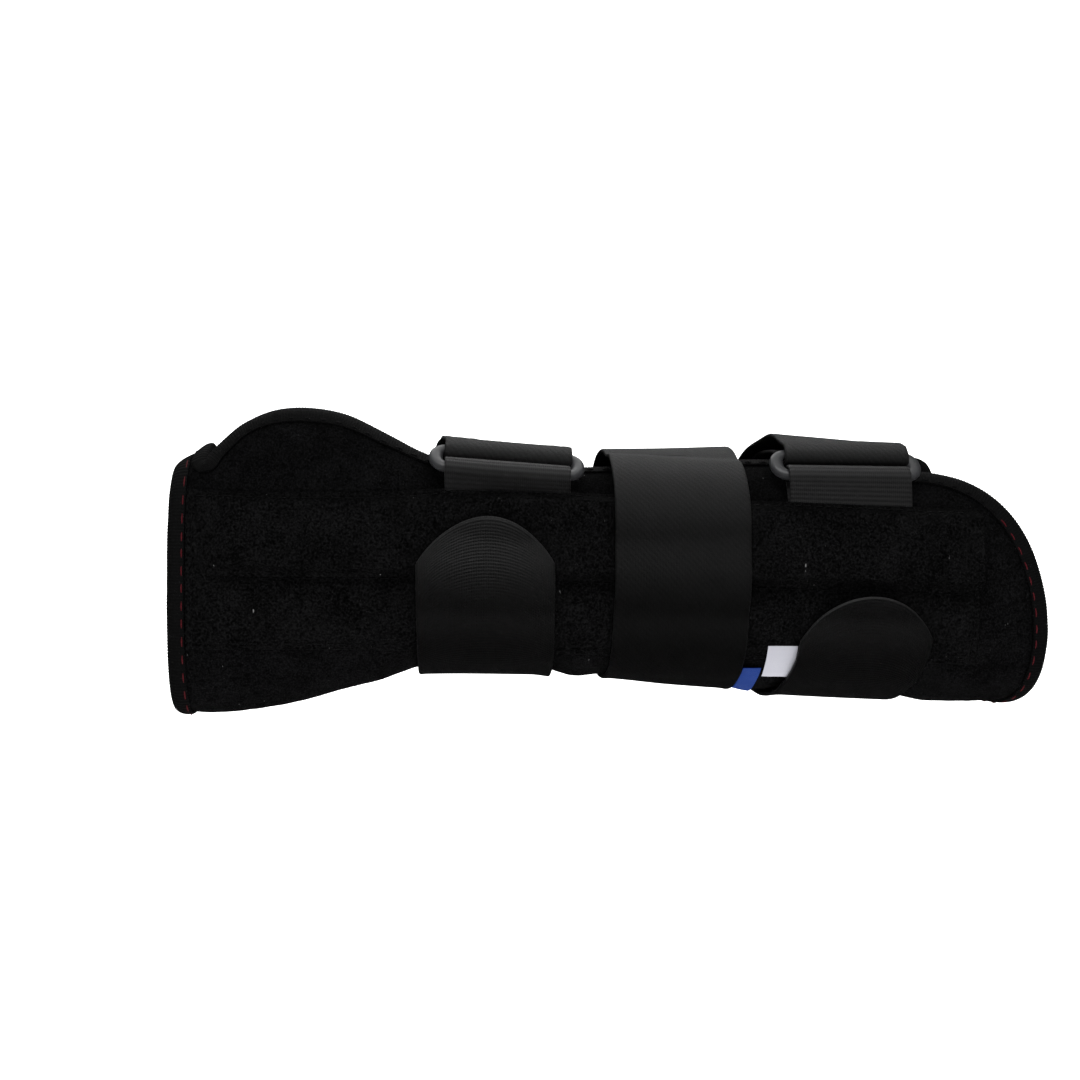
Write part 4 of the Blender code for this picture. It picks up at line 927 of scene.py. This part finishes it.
def wrap_top(x, s):
    """Top of the cover, binding at the slit, palm panel and back pocket."""
    round_trip = girth(x)
    s = s % round_trip
    palm, back = smooth_table(PALM_EDGE, x), smooth_table(BACK_EDGE, x)
    height = np.full(x.shape, COVER[1])
    bound = (palm - BINDING_REACH < s) & (s < back + BINDING_REACH)
    height = np.where(bound, COVER[1] * squeeze(BINDING_REACH) + 1.1, height)
    from_palm = np.where(s < round_trip / 2.0, s, s - round_trip)
    on_panel = (panel_top(x) - PANEL_WIDTH <= from_palm) & (from_palm <= panel_top(x))
    height = np.where(on_panel, panel_heights(x, from_palm)[1], height)
    on_pocket = np.abs(s - pocket_centre(x)) <= POCKET_WIDTH / 2.0
    on_pocket = on_pocket & (x >= POCKET_X[0]) & (x <= POCKET_X[1] + 10)
    return np.where(on_pocket, pocket_heights(x, s)[1], height)


def draped_rows(table, radius=25.0):
    """Height of a taut band over each row of a table of heights along s."""
    best = np.full(table.shape, -FAR)
    for k in range(-24, 25):
        shifted = np.roll(table, -k, axis=1)
        best = np.maximum(best, shifted - (TOP_STEP * k) ** 2 / (2.0 * radius))
    kernel = np.exp(-0.5 * (np.arange(-4, 5) / 2.0) ** 2)
    kernel /= kernel.sum()
    return sum(w * np.roll(best, k, axis=1) for w, k in zip(kernel, range(-4, 5)))


STRAP_X = np.arange(-16.0, 150.01, 1.0)
table_x, table_s = np.meshgrid(STRAP_X, TOP_S, indexing="ij")
WRAP_TOP = wrap_top(table_x, table_s)
DRAPED = draped_rows(WRAP_TOP)


def look_up(table, x, s):
    """Bilinear value of a table over (STRAP_X, TOP_S), with s taken once round the arm."""
    s = s % girth(x)
    a = np.clip(x - STRAP_X[0], 0, len(STRAP_X) - 1.001)
    b = np.clip((s - TOP_S[0]) / TOP_STEP, 0, len(TOP_S) - 1.001)
    i, j = a.astype(int), b.astype(int)
    return bilinear(table, i, j, i + 1, j + 1, a - i, b - j)


# ---------------- rings

THICK = 1.3
STRAP_GAP = 0.35
HOOK = 0.7
TAB_RISE = HOOK + 0.2
RING_LENGTH = 46.3
RING_HEIGHT = 8.3
RING_SIDES = 18
OVAL = 0.85
INNER_WIDENING = 0.45
BAR_SPACING = 8.8
CORNER_RADIUS = 4.0
BAR_WIDTH = 3.4
BAR_DEPTH = 2.8
RING_CLEARANCE = 0.35
FOLD_SLACK = 0.9
TAB_SLACK = 0.5
FOLD_REACH = 9.0
DRAWN_IN = 0.05
TAB_RADIUS = 23.0
HOOK_SHORT = (34.0, 14.0)


class Ring:
    """One oblong ring: its middle, and its directions along, up and out."""

    def __init__(self, x, s, slant):
        self.x = x
        self.centre = on_form(x, s, RING_HEIGHT)
        self.along = unit(on_form(x + 20.0, s - slant) - on_form(x - 20.0, s + slant))
        up = on_form(x, s + 4.0) - on_form(x, s - 4.0)
        self.up = unit(up - self.along * np.dot(up, self.along))
        self.out = np.cross(self.along, self.up)
        lowest = min(float(self.near_bar(side, np.linspace(-20.0, 20.0, 5))[1].min()) for side in (-1.0, 1.0))
        self.centre = self.centre + self.out * (RING_HEIGHT - lowest)

    def point(self, side, offset, beside=0.0, above=0.0):
        """Points beside one of the long bars (side -1 is the hinged one)."""
        offset, beside, above = np.broadcast_arrays(offset, beside, above)
        return (self.centre + self.along * offset[..., None] + self.out * above[..., None]
                + self.up * (side * BAR_SPACING / 2.0 + beside)[..., None])

    def near_bar(self, side, offset, beside=0.0, above=0.0):
        return locate(self.point(side, np.asarray(offset, dtype=float), beside, above))

    def make(self, name, node):
        """Smooth bar with an oval section, swept round an oblong with rounded corners."""
        half_long = (RING_LENGTH - BAR_WIDTH) / 2.0 - CORNER_RADIUS
        half_wide = BAR_SPACING / 2.0 - CORNER_RADIUS
        path = []
        for quarter in range(4):
            middle = math.radians(90.0 * quarter + 45.0)
            a = math.copysign(half_long, math.cos(middle))
            b = math.copysign(half_wide, math.sin(middle))
            for turn in np.radians(90.0 * quarter + np.linspace(0.0, 90.0, 13)):
                path.append((a + CORNER_RADIUS * math.cos(turn), b + CORNER_RADIUS * math.sin(turn),
                             math.cos(turn), math.sin(turn)))
        points = []
        for a, b, da, db in path:
            for turn in np.arange(RING_SIDES) * (2.0 * math.pi / RING_SIDES):
                c, s = math.cos(turn), math.sin(turn)
                wide = BAR_WIDTH / 2.0 * math.copysign(abs(c) ** OVAL, c)
                if c < 0.0:
                    wide *= 1.0 + INNER_WIDENING * abs(da) ** 1.5
                deep = BAR_DEPTH / 2.0 * math.copysign(abs(s) ** OVAL, s)
                points.append(self.centre + self.along * (a + da * wide) + self.up * (b + db * wide)
                              + self.out * deep)
        quads = tube_quads(len(path), RING_SIDES, True)
        shown(name, points, quads, RING_PLASTIC, node, node, sharp=60.0)


# ---------------- straps

# what a strap is made of: its thickness, material, slot, and the pitch and depth of its ribs
WEB = (THICK, WEBBING, "strap_webbing", None)
KNIT_TAB = (THICK, KNIT, "tab_elastic", (KNIT_PITCH, 0.035))
RIDGED_TAB = (TAB_THICK, RIDGED, "tab_elastic", (RIDGE_PITCH, 0.09))
HOOK_TAPE = (HOOK, HOOKS, "hook_tape", (HOOK_PITCH, -0.1))


def band(name, node, middle, columns, kind, body, seed, ends=(False, False), ripple=0.0):
    """Strap of even thickness with rounded edges; middle is its grid of points, along by across."""
    thickness, finish, slot, rib = kind
    out = skins(middle)
    arc = arc_along(middle[:, middle.shape[1] // 2])
    edge = np.minimum(columns - columns[0], columns[-1] - columns)[None, :] + 0.0 * arc[:, None]
    if ends[0]:
        edge = np.minimum(edge, arc[:, None])
    if ends[1]:
        edge = np.minimum(edge, (arc[-1] - arc)[:, None])
    half = thickness / 2.0 * edge_round(edge, 0.75)
    u, v = np.broadcast_arrays(columns[None, :], arc[:, None])
    relief = np.zeros_like(half)
    if rib is not None:
        pitch, depth = rib
        relief = depth * np.cos(2.0 * math.pi * v / pitch) * smooth_step(edge / 1.2)
    waves = ripple * value_noise(u, v, 12.0, seed + 1)
    relief = relief + 0.03 * value_noise(u, v, 1.1, seed) + waves
    plate(name, middle + out * (half + relief)[..., None], middle - out * (half - waves)[..., None],
          np.stack((u, v), axis=-1).reshape(-1, 2), grid_cells(*middle.shape[:2]), finish, body, node,
          sharp=60.0)


def crease(first, second, grid, direction):
    """Two bodies, and a start and end in metres from a strap's first row onwards, for a blend from one to the
    next; a piece given them is only baked in place, with no blend set up.
    """
    start = grid[0].mean(axis=0) * MM
    return first, second, start, start + np.array(direction)


def across_strap(width, step=1.0):
    """Places across a strap, closer together at its edges."""
    half = width / 2.0
    edge = np.array([0.0, 0.08, 0.25, 0.55])
    return np.concatenate((-half + edge, steps(-half + 0.95, half - 0.95, step), half - edge[::-1]))


def resting(table, x, s):
    """Height of a strap's middle where it rests on what a table of heights gives."""
    return look_up(table, x, s) + STRAP_GAP + THICK / 2.0


def tab_setback(offset):
    """How far the rounded end of a tab lies back from its tip."""
    return TAB_RADIUS - np.sqrt(TAB_RADIUS ** 2 - np.minimum(np.abs(offset), STRAP_WIDTH / 2.0) ** 2)


def close_strap(label, before, span, corner, end, direction, seed):
    """Knit tab from the last crease to the strap's end, and the hook tape under it."""
    tab = label + "_tab"
    columns = across_strap(STRAP_WIDTH, 0.8)
    grid = on_form(*span(corner, end, columns, 0.23, tab_setback))
    band(label + "_strap_knit_tab", label + "_strap_tab", grid, columns, KNIT_TAB,
         crease(before, tab, grid, direction), seed, ends=(False, True))
    inner = across_strap(STRAP_WIDTH - 4.0)
    first, last = ((end[0] - short, *end[1:]) for short in HOOK_SHORT)
    x, s, h = span(first, last, inner, 0.55)
    hook = on_form(x, s, h - THICK / 2.0 - 0.05 - HOOK / 2.0)
    band(label + "_hook_tape", label + "_hook_patch", hook, inner, HOOK_TAPE, tab, seed + 2, ends=(True, True))


class RingStrap:
    """Strap sewn to the back flap, threaded through a ring and wrapped round to the palm panel."""

    def __init__(self, label, ring, course, tab_end_s, side_s, back_s, lift, waist, dive):
        self.label, self.ring, self.course, self.waist, self.dive = label, ring, course, waist, dive
        self.tab_end_s, self.side_s, self.back_s, self.lift = tab_end_s, side_s, back_s, lift
        self.bar_s = float(ring.near_bar(1.0, 0.0)[0])
        self.turn_s = BAR_WIDTH / 2.0 + RING_CLEARANCE + THICK / 2.0 + FOLD_SLACK
        self.turn_h = BAR_DEPTH / 2.0 + RING_CLEARANCE + THICK / 2.0
        self.fold_end = self.bar_s + FOLD_REACH
        self.round_trip = float(girth(course[-1][1]))
        self.length = self.round_trip + tab_end_s - self.bar_s
        self.offsets = np.linspace(-30.0, 30.0, 61)
        self.under = ring.near_bar(1.0, self.offsets, BAR_WIDTH / 2.0, -self.turn_h)
        self.over = ring.near_bar(1.0, self.offsets, BAR_WIDTH / 2.0, self.turn_h)
        base = self.base_height(table_x, table_s)
        reach = (table_s < self.base_end(table_x) + 1.0) & (table_s > self.bar_s)
        self.beneath = draped_rows(np.where(reach, np.maximum(WRAP_TOP, base + THICK / 2.0), WRAP_TOP))

    def place(self, share, past_bar, offset):
        """x of the strap at an offset from its middle; it is drawn in where it goes through the ring."""
        drawn_in = DRAWN_IN * (1.0 - smooth_step(past_bar / 12.0))
        return smooth_table(self.course, share) + offset * (1.0 - drawn_in)

    def base_height(self, x, s):
        """Height of the run under the ring, from its bar down to the cover."""
        rest = resting(DRAPED, x, s)
        ring_s = np.interp(x - self.ring.x, self.offsets, self.under[0])
        ringside = np.interp(x - self.ring.x, self.offsets, self.under[1])
        return mix(ringside, rest, smooth_step((s - ring_s) / 10.0))

    def base_end(self, x):
        return pocket_centre(x) - POCKET_WIDTH / 2.0 - 3.0

    def run_height(self, x, s, offset):
        """Height of the outer run, from over the ring's bar round to the tab."""
        rest = np.where(s < girth(x) * 0.75, resting(self.beneath, x, s), resting(DRAPED, x, s))
        ring_s = np.interp(offset, self.offsets, self.over[0])
        ringside = np.interp(offset, self.offsets, self.over[1])
        near_ring = 1.0 - smooth_step((s - ring_s) / self.dive)
        past_bar = s - self.bar_s
        over_corner = smooth_step((past_bar - BAR_WIDTH / 2.0) / 6.0) * np.exp(-(past_bar / 16.0) ** 2)
        tilt = self.lift * over_corner * (0.5 - offset / STRAP_WIDTH)
        in_tab = smooth_step((s - (girth(x) + self.side_s) + 8.0) / 8.0)
        under_arm = np.exp(-((s - girth(x) + 38.0) / 16.0) ** 2)
        spans_waist = self.waist * under_arm * (1.0 - np.minimum(np.abs(offset) / 20.0, 1.0) ** 2)
        return np.maximum(mix(rest, ringside, near_ring), rest) + tilt + TAB_RISE * in_tab + spans_waist

    def stretch(self, start, finish, offset, step, setback=None):
        """Grid of points of the outer run between two places, each an arc length and full turns."""
        first, last = (a + turns * self.round_trip for a, turns in (start, finish))
        share = steps(0.0, 1.0, step / abs(last - first))[:, None] + 0.0 * offset[None, :]
        offset = offset[None, :] + 0.0 * share
        short = np.zeros_like(offset) if setback is None else setback(offset)
        nominal = mix(first, last - short, share)
        past_bar = nominal - self.bar_s
        x = self.place(past_bar / self.length, past_bar, offset)
        s = mix(start[0] + start[1] * girth(x), finish[0] - short + finish[1] * girth(x), share)
        return x, s, self.run_height(x, s, offset)

    def fold_grid(self, columns, step):
        """Under the ring's far bar, round it and back over itself, from the run to the base."""
        aside = self.place(0.0, 0.0, columns) - self.ring.x
        past = self.ring.near_bar(1.0, aside, BAR_WIDTH / 2.0)[0] + 1.5
        rows = []
        for t in steps(0.0, 1.0, step / 7.0):
            s = mix(self.fold_end, past, t)
            x = self.place((s - self.bar_s) / self.length, s - self.bar_s, columns)
            rows.append(on_form(x, s, self.run_height(x, s, columns)))
        rows.append(self.ring.point(1.0, aside, BAR_WIDTH / 2.0, self.turn_h))
        for turn in np.radians(np.linspace(90.0, 270.0, 25)):
            beside, above = self.turn_s * math.cos(turn), self.turn_h * math.sin(turn)
            rows.append(self.ring.point(1.0, aside, beside, above))
        rows.append(self.ring.point(1.0, aside, BAR_WIDTH / 2.0, -self.turn_h))
        for t in steps(0.0, 1.0, step / 7.0):
            s = mix(past, self.fold_end, t)
            x = self.place(0.0, s - self.bar_s, columns)
            rows.append(on_form(x, s, self.base_height(x, s)))
        return np.array(rows)

    def make(self):
        name, ring, side = self.label + "_strap", self.label + "_ring", self.label + "_side"
        across = across_strap(STRAP_WIDTH)
        band(name + "_fold_over_ring", name + "_fold", self.fold_grid(across, 0.5)[::-1], across, WEB, ring, 31)
        grid = on_form(*self.stretch((self.fold_end, 0), (self.back_s, 1), across, 0.55))
        band(name + "_outer_run", name + "_run", grid, across, WEB,
             crease(ring, "wrap", grid, (0.0, 0.008, 0.0)), 33, ripple=0.10)
        share = steps(0.0, 1.0, 0.6 / STRAP_WIDTH)[:, None]
        s = mix(self.fold_end, self.base_end(self.ring.x + across), share)
        x = self.place(0.0, s - self.bar_s, across)
        grid = on_form(x, s, self.base_height(x, s))
        band(name + "_sewn_base", name + "_base", grid, across, WEB,
             crease(ring, "wrap", grid, (0.0, 0.007, 0.0)), 35, ends=(False, True))
        grid = on_form(*self.stretch((self.back_s, 1), (self.side_s, 1), across, 0.45))
        band(name + "_free_side", name + "_side", grid, across, WEB,
             crease("wrap", side, grid, (0.0, 0.0, -0.006)), 37, ripple=0.06)
        close_strap(self.label, side, self.stretch, (self.side_s, 1), (self.tab_end_s, 1),
                    (0.0, -0.006, 0.0), 39)


def ring_tab(label, ring):
    """Ridged elastic loop from the panel's edge round the ring's near bar and back."""
    columns = across_strap(TAB_WIDTH)
    half = TAB_THICK / 2.0
    turn_s = BAR_WIDTH / 2.0 + RING_CLEARANCE + half + TAB_SLACK
    turn_h = BAR_DEPTH / 2.0 + RING_CLEARANCE + half
    x = ring.x + columns
    low = on_form(x, panel_top(x) - TAB_TUCK, COVER[1] + TAB_LIFT + half)
    high = on_form(x, panel_top(x) - TAB_TUCK, COVER[1] + TAB_LIFT + half + TAB_THICK + 0.2)
    away = low - ring.point(-1.0, columns)
    beside, above = away @ ring.up, away @ ring.out
    facing = np.arctan2(above, beside) + 2.0 * math.pi
    spread = np.arccos(turn_s / np.hypot(beside, above))
    rows = []
    for t in np.linspace(0.0, 1.0, 31):
        turn = mix(facing + spread - 2.0 * math.pi, facing - spread, t)
        rows.append(ring.point(-1.0, columns, turn_s * np.cos(turn), turn_h * np.sin(turn)))
    under = [mix(low, rows[0], t) for t in np.linspace(0.0, 1.0, 10)[:-1]]
    over = [mix(rows[-1], high, t) for t in np.linspace(0.0, 1.0, 16)[1:]]
    path = np.array(under + rows + over)[::-1]
    arc = arc_along(path[:, len(columns) // 2])
    even = steps(0.0, arc[-1], 0.24)
    fine = np.stack([np.stack([np.interp(even, arc, path[:, j, k]) for k in range(3)], axis=-1)
                     for j in range(len(columns))], axis=1)
    for _ in range(3):
        fine[1:-1] = 0.25 * fine[:-2] + 0.5 * fine[1:-1] + 0.25 * fine[2:]
    band(label + "_ridged_tab", label + "_ring_tab", fine, columns, RIDGED_TAB, "wrap", 43, ends=(True, True))


# places on the middle strap: an arc length, full turns, and whether it counts from the back pocket
MIDDLE_X = 66.8
SLIT_CENTRE = 37.5
SLIT_REACH = 15.0
MIDDLE_START = (POCKET_WIDTH / 2.0 + 3.0, 0, 1)
PALM_CORNER = (31.0, 1, 0)
BACK_CORNER = (66.0, 1, 0)
MIDDLE_END = (12.0, 1, 1)


def middle_span(start, finish, offset, step, setback=None):
    """Grid of the wide strap from the little-finger side over the palm and the slit onto the back."""
    x = MIDDLE_X + offset
    first, last = (a + turns * girth(x) + back * pocket_centre(x) for a, turns, back in (start, finish))
    if setback is not None:
        last = last - setback(offset)
    share = steps(0.0, 1.0, step / float(np.mean(last - first)))[:, None]
    s = mix(first, last, share)
    x = x + 0.0 * s
    rest = resting(DRAPED, x, s)
    over_slit = np.exp(-((s - girth(x) - SLIT_CENTRE) / SLIT_REACH) ** 2)
    lift = (1.6 + 1.2 * (0.5 - offset / STRAP_WIDTH)) * over_slit
    in_tab = smooth_step((s - girth(x) - BACK_CORNER[0] + 10.0) / 8.0)
    return x, s, rest + lift + TAB_RISE * in_tab


def middle_strap():
    across = across_strap(STRAP_WIDTH)
    grid = on_form(*middle_span(MIDDLE_START, PALM_CORNER, across, 0.55))
    band("middle_strap_sewn_run", "middle_strap_base", grid, across, WEB, "wrap", 51, ends=(True, False),
         ripple=0.10)
    grid = on_form(*middle_span(PALM_CORNER, BACK_CORNER, across, 0.5))
    band("middle_strap_over_slit", "middle_strap_bridge", grid, across, WEB,
         crease("wrap", "middle_bridge", grid, (0.0, 0.006, 0.0)), 53, ripple=0.06)
    close_strap("middle", "middle_bridge", middle_span, BACK_CORNER, MIDDLE_END, (0.0, 0.0, -0.006), 55)


def label_piece(name, node, x_range, s_range, finish, curl):
    """Small sewn-on label that curls away from the cloth at its free end."""
    x, s = np.meshgrid(steps(*x_range, 0.35), steps(*s_range, 0.35), indexing="ij")
    across = (x - x_range[0]) / (x_range[1] - x_range[0])
    along = (s - s_range[0]) / (s_range[1] - s_range[0])
    h = look_up(DRAPED, x, s) + 0.25 + curl * (1.0 - along) ** 2 * (0.6 + 0.4 * across)
    thick = 0.18 + 0.04 * smooth_step(np.minimum(along, 1.0 - along) * 12.0)
    plate(name, on_form(x, s, h + thick), on_form(x, s, h), np.column_stack((x.ravel(), s.ravel())),
          grid_cells(*x.shape), finish, "wrap", node)


# where a strap's middle runs: (share of the way from the ring to the tab's end, x)
DISTAL_COURSE = ((0.0, 16.6), (0.1, 16.2), (0.3, 14.0), (0.6, 11.0), (0.8, 9.5), (1.0, 9.0))
PROXIMAL_COURSE = (
    (0.0, 119.2), (0.08, 118.2), (0.2, 115.5), (0.4, 113.5), (0.6, 114.5), (0.79, 119.0), (0.9, 122.0),
    (1.0, 123.0),
)
distal_ring = Ring(RING_X[0], 26.0, 1.1)
proximal_ring = Ring(RING_X[1], 27.3, 0.3)
distal_ring.make("distal_ring_moulding", "distal_ring")
proximal_ring.make("proximal_ring_moulding", "proximal_ring")
ring_tab("distal", distal_ring)
ring_tab("proximal", proximal_ring)
RingStrap("distal", distal_ring, DISTAL_COURSE, 13.5, -35.0, -63.0, 0.4, 1.2, 5.0).make()
RingStrap("proximal", proximal_ring, PROXIMAL_COURSE, -7.5, -45.0, -84.0, 4.2, 0.0, 6.5).make()
middle_strap()
label_piece("size_label_blue", "size_label", (87.3, 92.6), (-40.5, -27.5), BLUE_CLOTH, 0.5)
label_piece("care_label_white", "care_label", (93.4, 102.4), (-30.2, -20.8), WHITE_CLOTH, 0.7)


# ---------------- floor

def make_stage():
    """Pale floor that sweeps up into a backdrop, in metres."""
    made, tree, shader = nodes_of("stage_white")
    feed(tree, shader, {"Base Color": (0.9, 0.9, 0.9, 1.0), "Roughness": 0.9, "Specular IOR Level": 0.1,
                        "Emission Color": (1.0, 1.0, 1.0, 1.0), "Emission Strength": 1.0})
    floor, back, radius, half = -0.30, 1.6, 0.6, 4.0
    profile = [(-half, floor), (back - radius, floor)]
    for turn in np.radians(np.linspace(7.5, 90.0, 12)):
        profile.append((back - radius + radius * math.sin(turn), floor + radius * (1.0 - math.cos(turn))))
    profile.append((back, half))
    points = [(x, y, z) for y, z in profile for x in (-half, half)]
    faces = [(2 * i, 2 * i + 1, 2 * i + 3, 2 * i + 2) for i in range(len(profile) - 1)]
    mesh = bpy.data.meshes.new("studio_floor")
    mesh.from_pydata(points, [], faces)
    mesh.materials.append(made)
    mesh.shade_smooth()
    stage = bpy.data.objects.new("studio_floor", mesh)
    bpy.context.scene.collection.objects.link(stage)
    stage.visible_glossy = False


make_stage()

bpy.context.view_layer.update()
